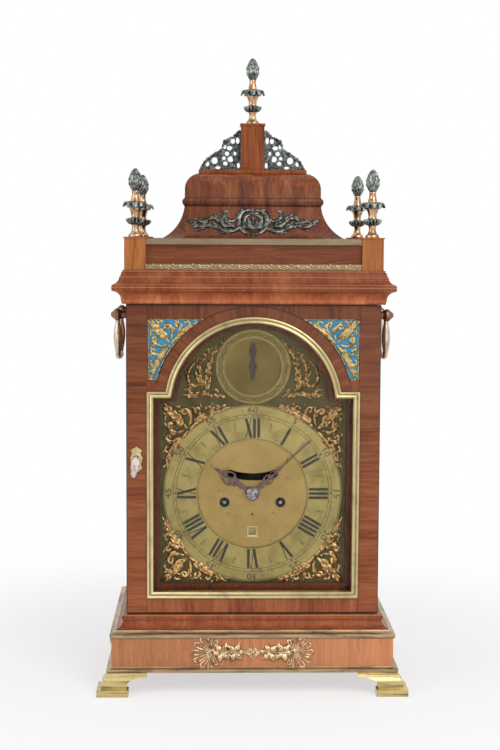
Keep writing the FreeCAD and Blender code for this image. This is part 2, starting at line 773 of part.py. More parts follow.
def finial(x, y, z):
    """Vase with a leaf disc and a flame, worked in flats."""
    profile = [
        (0.5, 0.0),
        (0.5, 0.04),
        (0.24, 0.12),
        (0.66, 0.23),
        (0.66, 0.27),
        (0.34, 0.34),
        (0.5, 0.44),
        (1.0, 0.475),
        (0.82, 0.53),
        (0.25, 0.585),
        (0.2, 0.66),
        (0.52, 0.8),
        (0.47, 0.87),
        (0.1, 1.0),
    ]
    sections = []
    for share, up in profile:
        corners = []
        for index in range(FINIAL_FLATS + 1):
            angle = 2 * math.pi * index / FINIAL_FLATS
            radius = FINIAL_R * share
            corners.append(V(x + radius * math.cos(angle), y + radius * math.sin(angle), z + FINIAL_H * up))
        sections.append(Part.makePolygon(corners))
    return Part.makeLoft(sections, True, True)


# ---------------------------------------------------------------- mounts on the case
def bell_mount():
    """Openwork cartouche with scrolled wings on the bell's hollow front."""
    half = BELL_NECK_W / 2 - BELL_MOUNT_END
    tall = BELL_MOUNT_H / 2
    z = BELL_NECK_Z - tall
    wing = [
        (0, 1.0),
        (0.14, 0.78, -0.1),
        (0.2, 0.1, -0.13),
        (0.47, 0.24, -0.1),
        (0.73, -0.12, -0.12),
        (1.0, 0.17, -0.08),
        (0.94, -0.44, -0.05),
        (0.63, -0.6, 0.1),
        (0.35, -0.54, -0.1),
        (0.16, -0.9, -0.13),
        (0, -1.0),
    ]
    points = [(w[0] * half, z + w[1] * tall) + tuple(bow * tall for bow in w[2:]) for w in wing]
    front = -HALF_D + BELL_INSET
    solid = slab_y(points, front - 3.0, front + BELL_NECK_IN + 9.0)
    solid = joined([solid, mirror_x(solid)])
    holes = []
    for along, up, share, lean in ((0.0, 0.0, 0.6, 0.0), (0.31, -0.18, 0.52, 65.0), (0.53, -0.2, 0.5, 100.0),
                                   (0.76, -0.34, 0.42, 60.0)):
        for side in (-1, 1) if along else (1,):
            holes.append(leaf_gap(side * along * half, z + up * tall, share * tall, side * lean,
                                  front - 4.0, front + BELL_NECK_IN + 10.0))
    return without(solid, holes).common(bell_skin(BELL_MOUNT_T))


def bell_skin(thickness):
    """Layer of even depth over the bell's hollow flare, in front only."""
    foot = (BELL_FOOT_W - CASE_W) / 2
    neck = (BELL_NECK_W - CASE_W) / 2
    rail = GALLERY_TOP + RAIL_H
    front = -HALF_D - 0.2
    points = [
        (front - foot, rail),
        (front - neck, BELL_NECK_Z, -4.7),
        (front - neck - thickness, BELL_NECK_Z),
        (front - foot - thickness, rail, 4.7),
    ]
    return slab_x(points, -HALF_W, HALF_W)


def palmette(reach):
    """One half of a plinth mount: a centre boss, a leaf cluster and an open fan at the end."""
    tall = PLINTH_H / 2 - MOUNT_EDGE
    top = [
        (0, 0.38),
        (0.07, 0.12),
        (0.18, 0.14),
        (0.25, 0.52, 0.1),
        (0.35, 0.52, 0.12),
        (0.45, 0.16, 0.08),
        (0.6, 0.16),
        (0.66, 0.62, 0.1),
        (0.76, 0.96, 0.13),
        (0.87, 0.88, 0.13),
        (0.96, 0.52, 0.13),
        (1.0, 0, 0.13),
    ]
    loop = list(top)
    for index in range(len(top) - 2, -1, -1):
        loop.append((top[index][0], -top[index][1]) + tuple(top[index + 1][2:]))
    middle = (LOW_BAND_TOP + PLINTH_TOP) / 2
    points = [(p[0] * MOUNT_HALF, middle + p[1] * tall) + tuple(bow * tall for bow in p[2:]) for p in loop]
    arm = slab_y(points, -reach - MOUNT_T, -reach)
    gaps = []
    for degrees in (40.0, 90.0, 140.0):
        across = 0.8 * MOUNT_HALF + 0.42 * tall * (math.sin(math.radians(degrees)) - 0.5)
        up = 0.55 * tall * math.cos(math.radians(degrees))
        gaps.append(leaf_gap(across, middle + up, 0.62 * tall, degrees, -reach - MOUNT_T - 1, -reach + 1))
    gaps.append(leaf_gap(0.3 * MOUNT_HALF, middle, 0.55 * tall, 90.0, -reach - MOUNT_T - 1, -reach + 1))
    return without(arm, gaps)


def plinth_mounts():
    """Gilt double palmettes on the front and both sides of the plinth."""
    front_half = palmette(HALF_D + PLINTH_OUT)
    front = joined([front_half, mirror_x(front_half)])
    side_half = palmette(HALF_W + PLINTH_OUT)
    side = joined([side_half, mirror_x(side_half)])
    right = side.copy()
    right.rotate(V(0, 0, 0), V(0, 0, 1), 90)
    return [front, right, mirror_x(right)]


def handle_plate():
    """Right backplate with the two knobs that hold the bail."""
    half = HANDLE_Y + 11.0
    low = HANDLE_Z - BAIL_DROP - 9.0
    points = [
        (-half, HANDLE_Z),
        (-half + 9.0, HANDLE_Z - 13.0, 3.0),
        (-12.0, low, -7.0),
        (12.0, low, 2.5),
        (half - 9.0, HANDLE_Z - 13.0, -7.0),
        (half, HANDLE_Z, 3.0),
        (HANDLE_Y, HANDLE_Z + 9.0, 2.5),
        (10.0, HANDLE_Z - 4.0, -3.0),
        (-10.0, HANDLE_Z - 4.0, 1.5),
        (-HANDLE_Y, HANDLE_Z + 9.0, -3.0),
    ]
    plate = slab_x(points, HALF_W, HALF_W + BACKPLATE_T)
    pieces = [plate]
    axis_x = HALF_W + HANDLE_OUT
    for side in (-1, 1):
        pieces.append(turned_x(side * HANDLE_Y, HANDLE_Z, [
            (KNOB_R + 2.5, HALF_W),
            (KNOB_R + 2.5, HALF_W + 2.2),
            (KNOB_R * 0.64, HALF_W + 2.2),
            (KNOB_R * 0.64, axis_x - KNOB_R * 0.75),
            (KNOB_R, axis_x - KNOB_R * 0.2),
            (KNOB_R, axis_x + KNOB_R * 0.2),
            (KNOB_R * 0.3, axis_x + KNOB_R),
        ]))
    solid = joined(pieces)
    depth = HANDLE_Y - KNOB_R
    holes = []
    for side in (-1, 1):
        low_y = min(side * depth, side * (depth + KNOB_R)) - (1 if side > 0 else 0)
        holes.append(rod_y(axis_x, HANDLE_Z, BAIL_PIN_R + PIVOT_FIT, low_y, low_y + KNOB_R + 1))
    return without(solid, holes)


def bail():
    """Right handle: a drooping bail whose pins turn in the knobs."""
    x = HALF_W + HANDLE_OUT
    top_y = HANDLE_Y - KNOB_R - 0.6 - BAIL_R
    low = HANDLE_Z - BAIL_DROP
    bend = BAIL_BEND_R
    pieces = [rod_y(x, low, BAIL_R, bend - top_y, top_y - bend)]
    for side in (-1, 1):
        y = side * top_y
        pieces.append(rod_z(x, y, BAIL_R, low + bend, HANDLE_Z + BAIL_R))
        section = Part.Face(Part.Wire(Part.makeCircle(BAIL_R, V(x, y, low + bend), V(0, 0, 1))))
        pieces.append(section.revolve(V(x, y - side * bend, low + bend), V(1, 0, 0), -side * 90))
        start = min(y, side * (HANDLE_Y - 0.8))
        pieces.append(rod_y(x, HANDLE_Z, BAIL_PIN_R, start, start + HANDLE_Y - 0.8 - top_y))
    pieces.append(rod_y(x, low, BAIL_R + 1.3, -BAIL_COLLAR_LEN / 2, BAIL_COLLAR_LEN / 2))
    return joined(pieces)


# ---------------------------------------------------------------- doors
def fret_points(fit):
    """Right spandrel opening of the door, concentric with the arch; `fit` draws it in."""
    radius = BEZEL_R + FRET_BAND + fit
    side = FRET_SIDE - fit
    top = FRET_TOP - fit
    bottom = FRET_BOTTOM + fit
    top_x = math.sqrt(radius**2 - (top - ARCH_Z) ** 2)
    low_x = math.sqrt(radius**2 - (bottom - ARCH_Z) ** 2)
    middle = math.hypot((top_x + low_x) / 2, (top + bottom) / 2 - ARCH_Z)
    return [(side, bottom), (side, top), (top_x, top), (low_x, bottom, radius - middle)]


def door_blank(y0, y1):
    """Door board with running holes for its pivots; it lies between y0 and y1."""
    low = CASE_BOTTOM + DOOR_END_GAP
    high = CASE_TOP - DOOR_END_GAP
    board = box(-HALF_W, HALF_W, y0, y1, low, high)
    y = math.copysign(PIVOT_Y, y0 + y1)
    depth = PIVOT_LEN + 0.5
    holes = [
        rod_z(PIVOT_X, y, PIVOT_R + PIVOT_FIT, low - 1, CASE_BOTTOM + depth),
        rod_z(PIVOT_X, y, PIVOT_R + PIVOT_FIT, CASE_TOP - depth, high + 1),
    ]
    return without(board, holes)


def front_door_frame():
    """Front door frame with its arched opening, two corner openings and the lock's pocket."""
    face = -HALF_D
    back = face + DOOR_T
    board = door_blank(face, back)
    corner = slab_y(fret_points(0), face - 1, back + 1)
    opening = break_arch(BEZEL_W - BEZEL_LEG, face - 1, back + 1)
    return without(board, [opening, corner, mirror_x(corner), door_lock()])


def front_bezel():
    """Brass moulding round the door's opening; its leg holds the glass from the front."""
    face = -HALF_D
    cap = break_arch(0, face - BEZEL_PROUD, face)
    leg = break_arch(BEZEL_W - BEZEL_LEG, face, face + BEZEL_DEPTH)
    hole = break_arch(BEZEL_W, face - BEZEL_PROUD - 1, face + BEZEL_DEPTH + 1)
    return joined([cap, leg]).cut(hole)


def front_glass():
    face = -HALF_D + BEZEL_DEPTH
    return break_arch(BEZEL_W - BEZEL_LEG + GLASS_FIT, face, face + GLASS_T)


def front_fret():
    """Right pierced corner fret: a rim with leaf-shaped gaps."""
    face = -HALF_D + FRET_SUNK
    points = fret_points(FRET_FIT)
    fret = slab_y(points, face, face + FRET_T)
    side = points[0][0]
    top = points[1][1]
    width = side - points[2][0]
    height = top - points[0][1]
    holes = []
    for across, down, share, lean in ((0.15, 0.17, 0.25, 45.0), (0.39, 0.145, 0.2, 100.0), (0.62, 0.095, 0.15, 97.0),
                                      (0.8, 0.06, 0.09, 95.0), (0.11, 0.41, 0.2, 5.0), (0.085, 0.63, 0.15, 3.0),
                                      (0.075, 0.82, 0.13, 1.0), (0.3, 0.32, 0.16, -48.0)):
        holes.append(leaf_gap(side - width * across, top - height * down, height * share, lean,
                              face - 1, face + FRET_T + 1))
    return without(fret, holes)


def fret_cloth():
    face = -HALF_D + FRET_SUNK + FRET_T
    return slab_y(fret_points(FRET_FIT), face, face + CLOTH_T)


LOCK_X = -(HALF_W + BEZEL_HALF) / 2
LOCK_Z = (CASE_BOTTOM + CASE_TOP) / 2 + 0.7
ESCUTCHEON_W = 11.0
ESCUTCHEON_H = 23.6
ESCUTCHEON_T = 1.2
COVER_PIN_Z = LOCK_Z + 4.0
COVER_PIN_R = 0.8
COVER_T = 1.2
COVER_LEN = 21.0


def door_lock():
    """Body of the lock, let into the back of the door's left stile."""
    back = -HALF_D + DOOR_T
    return box(LOCK_X - 7.0, LOCK_X + 7.0, back - 5.0, back, LOCK_Z - 17.0, LOCK_Z + 17.0)


def escutcheon():
    """Shaped plate with the pin that the keyhole cover hangs on."""
    half = ESCUTCHEON_W / 2
    tall = ESCUTCHEON_H / 2
    face = -HALF_D
    points = [
        (LOCK_X, LOCK_Z + tall, 0.5),
        (LOCK_X + half * 0.55, LOCK_Z + tall * 0.72, 0.5),
        (LOCK_X + half, LOCK_Z + tall * 0.25, -0.5),
        (LOCK_X + half * 0.7, LOCK_Z - tall * 0.45, 0.5),
        (LOCK_X, LOCK_Z - tall, 0.6),
        (LOCK_X - half * 0.7, LOCK_Z - tall * 0.45, 0.6),
        (LOCK_X - half, LOCK_Z + tall * 0.25, 0.5),
        (LOCK_X - half * 0.55, LOCK_Z + tall * 0.72, -0.5),
    ]
    plate = slab_y(points, face - ESCUTCHEON_T, face)
    pin_end = face - ESCUTCHEON_T - COVER_T - 0.6
    pin = rod_y(LOCK_X, COVER_PIN_Z, COVER_PIN_R, pin_end, face)
    return joined([plate, pin])


def keyhole_cover():
    """Pear-shaped drop that hangs over the keyhole."""
    top = COVER_PIN_Z + 2.0
    low = COVER_PIN_Z - COVER_LEN
    points = [
        (LOCK_X - 2.0, top - 1.0),
        (LOCK_X + 2.0, top - 1.0, 1.0),
        (LOCK_X + 1.6, COVER_PIN_Z - 5.0),
        (LOCK_X + 3.2, low + 6.0, -0.6),
        (LOCK_X, low, 1.2),
        (LOCK_X - 3.2, low + 6.0, 1.2),
        (LOCK_X - 1.6, COVER_PIN_Z - 5.0, -0.6),
    ]
    face = -HALF_D - ESCUTCHEON_T - 0.2
    plate = slab_y(points, face - COVER_T, face)
    return plate.cut(rod_y(LOCK_X, COVER_PIN_Z, COVER_PIN_R + PIVOT_FIT, face - COVER_T - 1, face + 1))


def back_panel(grow, y0, y1):
    """Opening of the back door, `grow` larger all round."""
    half = HALF_W - BACK_STILE + grow
    bottom = CASE_BOTTOM + BACK_RAIL - grow
    return arch_panel(half, bottom, BEZEL_SHOULDER - BACK_SHOULDER_DROP + grow, BACK_ARCH_R + grow, y0, y1)


def back_door_frame():
    """Back door frame with an arched opening, rebated inside for the glass."""
    face = HALF_D
    inner = face - DOOR_T
    board = door_blank(inner, face)
    through = back_panel(0, inner - 1, face + 1)
    rebate = back_panel(BACK_REBATE, inner - 1, face - BEZEL_DEPTH)
    return without(board, [through, rebate])


def back_door_glass():
    face = HALF_D - BEZEL_DEPTH
    return back_panel(BACK_REBATE - GLASS_FIT, face - GLASS_T, face)


# ---------------------------------------------------------------- dial
def ring(x, z, outer, inner, y0, y1):
    """Flat ring."""
    return rod_y(x, z, outer, y0, y1).cut(rod_y(x, z, inner, y0 - 1, y1 + 1))


def slot_piece(y0, y1):
    """Curved false-pendulum slot, swept about the verge."""
    angle = math.radians(SLOT_HALF_ANGLE)
    rise = 1 - math.cos(angle)
    ends = []
    for radius in (SLOT_R - SLOT_W / 2, SLOT_R + SLOT_W / 2):
        ends.append((radius * math.sin(angle), VERGE_Z - radius * math.cos(angle), radius * rise))
    (inner_x, inner_z, inner_rise), (outer_x, outer_z, outer_rise) = ends
    points = [
        (-outer_x, outer_z, -SLOT_W / 2),
        (outer_x, outer_z, -outer_rise),
        (inner_x, inner_z, -SLOT_W / 2),
        (-inner_x, inner_z, inner_rise),
    ]
    return slab_y(points, y0, y1)


def dial_plate():
    """Dial plate with its openings, its four feet and the studs that carry the date ring."""
    plate = break_arch(BEZEL_W + MASK_REVEAL - DIAL_LAP, DIAL_FRONT, DIAL_BACK)
    low = DIAL_FRONT - 1
    high = DIAL_BACK + 1
    half = DATE_SIDE / 2
    holes = [
        rod_y(0, DIAL_Z, 4.2, low, high),
        rod_y(0, SET_HOLE_Z, SET_HOLE_R, low, high),
        rod_y(0, ARCH_RING_Z, ARBOR_R + 0.3 + RUN_FIT, low, high),
        box(-half, half, low, high, DATE_Z - half, DATE_Z + half),
        slot_piece(low, high),
    ]
    for side in (-1, 1):
        holes.append(rod_y(side * WINDING_X, WINDING_Z, WINDING_HOLE_R, low, high))
    solids = [without(plate, holes)]
    for x in (-PLATE_HALF + 8.0, PLATE_HALF - 8.0):
        for z in (DIAL_Z - 47.0, PLATE_TOP - 22.0):
            solids.append(rod_y(x, z, 2.6, DIAL_BACK, FRONT_PLATE))
    stud = DATE_RING_IN - 0.1 - 1.2
    behind = DIAL_BACK + 0.3 + DATE_RING_T + 0.2
    for degrees in (0, 120, 240):
        x = stud * math.sin(math.radians(degrees))
        z = DIAL_Z + stud * math.cos(math.radians(degrees))
        solids.append(rod_y(x, z, 1.2, DIAL_BACK, behind))
        solids.append(rod_y(x, z, 2.6, behind, behind + 0.5))
    return joined(solids)


def dial_rings():
    """Chapter ring and the small ring in the arch."""
    front = DIAL_FRONT - RING_T
    return [
        ring(0, DIAL_Z, RING_R, RING_IN_R, front, DIAL_FRONT),
        ring(0, ARCH_RING_Z, ARCH_RING_R, ARCH_RING_IN_R, front, DIAL_FRONT),
    ]


def corner_spandrel(reach):
    """Lower right spandrel between the chapter ring and the corner of the dial, pierced."""
    inner = RING_R + SPANDREL_GAP
    angle = math.radians(SPANDREL_ANGLE)
    near = inner * math.sin(angle)
    far = inner * math.cos(angle)
    rise = inner * (1 - math.cos(math.pi / 4 - angle))
    bow = SPANDREL_SCALLOP
    step = (reach - near) / 3
    corners = [
        (far, near, -rise),
        (reach, near + 1.0),
        (reach, near + step, bow),
        (reach, near + 2 * step, bow),
        (reach - 1.0, reach - 1.0, bow),
        (reach - step, reach, bow),
        (reach - 2 * step, reach, bow),
        (near + 1.0, reach, bow),
        (near, far),
    ]
    points = [(c[0], DIAL_Z - c[1]) + c[2:] for c in corners]
    front = DIAL_FRONT - SPANDREL_T
    casting = slab_y(points, front, DIAL_FRONT)
    holes = []
    for across, down, share, lean in ((0.105, 0.105, 0.13, 135.0), (0.25, 0.09, 0.1, 80.0), (0.09, 0.25, 0.1, 10.0),
                                      (0.4, 0.05, 0.07, 88.0), (0.05, 0.4, 0.07, 2.0), (0.2, 0.2, 0.05, 135.0)):
        holes.append(leaf_gap(reach * (1 - across), DIAL_Z - reach * (1 - down), reach * share, lean,
                              front - 1, DIAL_FRONT + 1))
    return without(casting, holes)


def arch_spandrel():
    """Right spandrel between the small ring and the arch, pierced."""
    arch = OPEN_R - SPANDREL_ARCH_GAP
    near = ARCH_RING_R + SPANDREL_GAP
    low = OPEN_SHOULDER + SPANDREL_FOOT_GAP
    top = ARCH_RING_Z + ARCH_RING_R * 0.76
    foot_z = low + (top - low) / 6

    def arch_x(z):
        return math.sqrt(arch**2 - (z - ARCH_Z) ** 2)

    def ring_x(z):
        return math.sqrt(near**2 - (z - ARCH_RING_Z) ** 2)

    outer_rise = arch - math.hypot((arch_x(low) + arch_x(top)) / 2, (low + top) / 2 - ARCH_Z)
    inner_rise = near - math.hypot((ring_x(top) + ring_x(foot_z)) / 2, (top + foot_z) / 2 - ARCH_RING_Z)
    points = [
        (ring_x(foot_z) + 2.0, low),
        (arch_x(low), low),
        (arch_x(top), top, -outer_rise),
        (ring_x(top), top),
        (ring_x(foot_z), foot_z, inner_rise),
    ]
    front = DIAL_FRONT - SPANDREL_T
    casting = slab_y(points, front, DIAL_FRONT)
    holes = []
    for up, share, lean in ((0.2, 0.9, 95.0), (0.45, 0.75, -35.0), (0.68, 0.6, -40.0)):
        z = low + (top - low) * up
        room = arch_x(z) - ring_x(z)
        holes.append(leaf_gap((arch_x(z) + ring_x(z)) / 2, z, room * share * 0.8, lean, front - 1, DIAL_FRONT + 1))
    return without(casting, holes)


def spandrels():
    lower = corner_spandrel(RING_R)
    upper = lower.mirror(V(0, 0, DIAL_Z), V(0, 0, 1))
    arch = arch_spandrel()
    right = [lower, upper, arch]
    return right + [mirror_x(piece) for piece in right]


def date_ring():
    front = DIAL_BACK + 0.3
    return ring(0, DIAL_Z, DATE_RING_OUT, DATE_RING_IN, front, front + DATE_RING_T)


# ---------------------------------------------------------------- hands
HAND_HUB_R = 5.5
CANNON_PIPE_R = 2.4
HOUR_PIPE_R = 3.6
HOUR_HAND_BACK = DIAL_FRONT - RING_T - HAND_STEP
MINUTE_HAND_BACK = HOUR_HAND_BACK - HAND_T - HAND_STEP


def hour_hand():
    """Pierced spade hand, drawn upright and then turned to its hour."""
    z = DIAL_Z
    half = HOUR_HALF_W
    belly = HOUR_LEN * 0.56
    points = [
        (-half * 0.27, z),
        (-half * 0.17, z + HOUR_LEN * 0.3, half * 0.07),
        (-half, z + belly, half * 0.27),
        (-half * 0.3, z + HOUR_LEN * 0.76, half * 0.27),
        (0, z + HOUR_LEN, -half * 0.05),
        (half * 0.3, z + HOUR_LEN * 0.76, -half * 0.05),
        (half, z + belly, half * 0.27),
        (half * 0.17, z + HOUR_LEN * 0.3, half * 0.27),
        (half * 0.27, z, half * 0.07),
    ]
    back = HOUR_HAND_BACK
    front = back - HAND_T
    blade = slab_y(points, front, back)
    hub = rod_y(0, z, HAND_HUB_R, front, back)
    holes = [
        leaf_gap(-half * 0.45, z + belly, half * 0.75, 20.0, front - 1, back + 1),
        leaf_gap(half * 0.45, z + belly, half * 0.75, -20.0, front - 1, back + 1),
        rod_y(0, z, HOUR_PIPE_R, front - 1, back + 1),
    ]
    return clock_turn(without(joined([blade, hub]), holes), 0, z, HOUR_AT)


def minute_hand():
    """Long hand with a pierced root and a thin straight blade."""
    z = DIAL_Z
    root = MINUTE_LEN * 0.3
    half = MINUTE_HALF_W
    points = [
        (-half * 0.43, z),
        (-half * 0.29, z + root * 0.45, half * 0.1),
        (-half, z + root * 0.75, half * 0.29),
        (-half * 0.24, z + root * 1.25, half * 0.33),
        (-half * 0.083, z + MINUTE_LEN),
        (half * 0.083, z + MINUTE_LEN),
        (half * 0.24, z + root * 1.25),
        (half, z + root * 0.75, half * 0.33),
        (half * 0.29, z + root * 0.45, half * 0.29),
        (half * 0.43, z, half * 0.1),
    ]
    back = MINUTE_HAND_BACK
    front = back - HAND_T
    blade = slab_y(points, front, back)
    hub = rod_y(0, z, HAND_HUB_R * 0.82, front, back)
    holes = [
        leaf_gap(0, z + root * 0.8, half, 0.0, front - 1, back + 1),
        rod_y(0, z, CANNON_PIPE_R, front - 1, back + 1),
    ]
    return clock_turn(without(joined([blade, hub]), holes), 0, z, MINUTE_AT)


def hand_collet():
    """Domed collet that holds the minute hand on its pipe."""
    back = MINUTE_HAND_BACK - HAND_T
    dome = turned_y(0, DIAL_Z, [(COLLET_R * 0.35, back - 1.7), (COLLET_R * 0.8, back - 1.2), (COLLET_R, back)])
    return dome


def arch_hand():
    """Small hand of the arch, with its arbor and the cam behind the dial."""
    z = ARCH_RING_Z
    back = DIAL_FRONT - RING_T - 0.6
    front = back - HAND_T
    points = [
        (-1.6, z),
        (-0.8, z + ARCH_HAND_LEN * 0.35),
        (-2.8, z + ARCH_HAND_LEN * 0.6, 0.8),
        (0, z + ARCH_HAND_LEN, 0.8),
        (2.8, z + ARCH_HAND_LEN * 0.6, 0.8),
        (0.8, z + ARCH_HAND_LEN * 0.35, 0.8),
        (1.6, z),
        (1.8, z - 12.0),
        (-1.8, z - 12.0, -1.6),
    ]
    arbor = ARBOR_R + 0.3
    return joined([
        slab_y(points, front, back),
        rod_y(0, z, 3.2, front - 0.5, back),
        rod_y(0, z, arbor, front, DIAL_BACK + 3.0),
        rod_y(2.5, z, 8.0, DIAL_BACK + 1.0, DIAL_BACK + 2.6),
    ])


# ---------------------------------------------------------------- wheels
def wheel_outline(teeth, module, first):
    """Toothed edge in polar steps, with one tooth centred at angle `first` from the top."""
    pitch = math.pi / teeth
    tip = teeth * module / 2 + 0.7 * module
    root = teeth * module / 2 - 1.3 * module
    steps = []
    for index in range(teeth):
        centre = first + 2 * pitch * index
        steps.append((tip, centre - 0.08 * pitch))
        steps.append((tip, centre + 0.08 * pitch))
        steps.append((root, centre + pitch))
    return steps


def pinion_outline(leaves, module, first):
    """Leafed edge in polar steps, with one leaf centred at angle `first` from the top."""
    pitch = math.pi / leaves
    tip = leaves * module / 2 + 0.55 * module
    root = leaves * module / 2 - 1.2 * module
    steps = []
    for index in range(leaves):
        centre = first + 2 * pitch * index
        steps.append((root, centre - 0.24 * pitch))
        steps.append((tip, centre - 0.144 * pitch))
        steps.append((tip, centre + 0.144 * pitch))
        steps.append((root, centre + 0.24 * pitch))
    return steps


def polar(x, z, steps):
    return [(x + r * math.sin(a), z + r * math.cos(a)) for r, a in steps]


def crossings(x, z, inner, outer, arms, y0, y1):
    """Windows between a wheel's arms."""
    windows = []
    for index in range(arms):
        start = 2 * math.pi * index / arms + 2.2 / outer
        end = 2 * math.pi * (index + 1) / arms - 2.2 / outer
        low_start = 2 * math.pi * index / arms + 1.6 / inner
        low_end = 2 * math.pi * (index + 1) / arms - 1.6 / inner
        corners = polar(x, z, [(inner, low_start), (outer, start), (outer, end), (inner, low_end)])
        out_rise = outer * (1 - math.cos((end - start) / 2))
        in_rise = inner * (1 - math.cos((low_end - low_start) / 2))
        points = [
            corners[0] + (-in_rise,),
            corners[1],
            corners[2] + (out_rise,),
            corners[3],
        ]
        windows.append(slab_y(points, y0, y1))
    return windows


def wheel(x, z, y, teeth, module, towards, arms=4):
    """Crossed-out wheel whose tooth gap faces the angle `towards`."""
    blank = slab_y(polar(x, z, wheel_outline(teeth, module, towards + math.pi / teeth)), y, y + WHEEL_T)
    rim = teeth * module / 2 - 1.3 * module - 2.2
    return without(blank, crossings(x, z, 4.6, rim, arms, y - 1, y + WHEEL_T + 1))


def pinion(x, z, y, module, towards, length=PINION_T):
    """Pinion with one leaf pointing to the angle `towards`."""
    return slab_y(polar(x, z, pinion_outline(PINION_LEAVES, module, towards)), y, y + length)


def arbor(x, z, front=None, back=None):
    """Arbor between the plates with a pivot at each end."""
    low = FRONT_PLATE_IN + 0.3 if front is None else front
    high = BACK_PLATE_IN - 0.3 if back is None else back
    return turned_y(x, z, [
        (PIVOT_SMALL, FRONT_PLATE - 0.5),
        (PIVOT_SMALL, low),
        (ARBOR_R, low),
        (ARBOR_R, high),
        (PIVOT_SMALL, high),
        (PIVOT_SMALL, BACK_PLATE + 0.5),
    ])


def bearing(angle_x, angle_z, to_x, to_z):
    """Clock angle from one centre to another."""
    return math.atan2(to_x - angle_x, to_z - angle_z)


def fusee(side, teeth, module, mesh_x, mesh_z):
    """Grooved cone with its great wheel and winding square; side is -1 for strike and 1 for going."""
    x = side * WINDING_X
    z = WINDING_Z
    steps = []
    pitch = FUSEE_LEN / FUSEE_TURNS
    for turn in range(FUSEE_TURNS):
        share = (turn + 1) / FUSEE_TURNS
        radius = FUSEE_TIP_R + (FUSEE_R - FUSEE_TIP_R) * share**1.6
        y = FUSEE_FRONT + pitch * turn
        steps.append((radius - FUSEE_GROOVE, y))
        steps.append((radius - FUSEE_GROOVE, y + pitch * 0.5))
        steps.append((radius, y + pitch * 0.5))
        steps.append((radius, y + pitch))
    cone = turned_y(x, z, steps)
    square_end = DIAL_FRONT - RING_T + 0.8
    shaft = turned_y(x, z, [
        (WINDING_SQUARE * 0.72, FRONT_PLATE - 3.0),
        (WINDING_SQUARE * 0.72, FUSEE_FRONT),
        (3.0, FUSEE_FRONT),
        (3.0, GREAT_Y + WHEEL_T + 1.5),
        (ARBOR_R, GREAT_Y + WHEEL_T + 1.5),
        (ARBOR_R, BACK_PLATE + 0.5),
    ])
    half = WINDING_SQUARE / 2
    square = box(x - half, x + half, square_end, FRONT_PLATE - 3.0, z - half, z + half)
    towards = bearing(x, z, mesh_x, mesh_z)
    edge = polar(x, z, wheel_outline(teeth, module, towards + math.pi / teeth))
    great = slab_y(edge, GREAT_Y, GREAT_Y + WHEEL_T)
    return joined([cone, shaft, square, great])


def barrel(side):
    """Mainspring barrel with its arbor."""
    x = side * BARREL_X
    z = BARREL_Z
    return turned_y(x, z, [
        (ARBOR_R + 0.6, FRONT_PLATE - 2.0),
        (ARBOR_R + 0.6, FRONT_PLATE_IN + 0.4),
        (3.2, FRONT_PLATE_IN + 0.4),
        (3.2, BARREL_FRONT),
        (BARREL_R, BARREL_FRONT),
        (BARREL_R, BARREL_FRONT + 2.0),
        (BARREL_R - 0.8, BARREL_FRONT + 2.0),
        (BARREL_R - 0.8, BARREL_FRONT + BARREL_LEN - 2.0),
        (BARREL_R, BARREL_FRONT + BARREL_LEN - 2.0),
        (BARREL_R, BARREL_FRONT + BARREL_LEN),
        (3.2, BARREL_FRONT + BARREL_LEN),
        (3.2, BACK_PLATE_IN - 0.4),
        (ARBOR_R, BACK_PLATE_IN - 0.4),
        (ARBOR_R, BACK_PLATE + 0.5),
    ])


def centre_arbor():
    """Centre arbor: pinion at the back, centre wheel, cannon wheel and the pipe that carries the hand."""
    from_great = bearing(0, DIAL_Z, WINDING_X, WINDING_Z)
    centre_wheel = wheel(0, DIAL_Z, CENTRE_WHEEL_Y, CENTRE_TEETH, TRAIN_MODULE, 0.0)
    leaves = pinion(0, DIAL_Z, GREAT_Y - 1.2, GREAT_MODULE, from_great)
    cannon = slab_y(polar(0, DIAL_Z, wheel_outline(CANNON_TEETH, MOTION_MODULE, math.pi + math.pi / CANNON_TEETH)),
                    CANNON_Y, CANNON_Y + WHEEL_T * 0.75)
    shaft = turned_y(0, DIAL_Z, [
        (CANNON_PIPE_R, MINUTE_HAND_BACK - HAND_T),
        (CANNON_PIPE_R, CANNON_Y + 3.0),
        (ARBOR_R, CANNON_Y + 3.0),
        (ARBOR_R, BACK_PLATE_IN - 0.3),
        (PIVOT_SMALL, BACK_PLATE_IN - 0.3),
        (PIVOT_SMALL, BACK_PLATE + 0.5),
    ])
    boss = rod_y(0, DIAL_Z, 4.8, CENTRE_WHEEL_Y - 1.0, CENTRE_WHEEL_Y + WHEEL_T + 1.0)
    return joined([shaft, centre_wheel, boss, leaves, cannon])


def minute_wheel():
    """Minute wheel with the pinion that drives the hour wheel."""
    z = DIAL_Z - MOTION_CENTRES
    body = slab_y(polar(0, z, wheel_outline(CANNON_TEETH, MOTION_MODULE, 0.0)), CANNON_Y,
                  CANNON_Y + WHEEL_T * 0.75)
    leaves = pinion(0, z, HOUR_WHEEL_Y - 0.5, HOUR_MODULE, 0.0, CANNON_Y - HOUR_WHEEL_Y + 0.5)
    shaft = turned_y(0, z, [
        (PIVOT_SMALL, MINUTE_COCK_Y + 0.1),
        (PIVOT_SMALL, FRONT_PLATE_IN + 0.5),
    ])
    collar = rod_y(0, z, ARBOR_R, CANNON_Y, FRONT_PLATE - 0.4)
    return joined([shaft, leaves, body, collar])


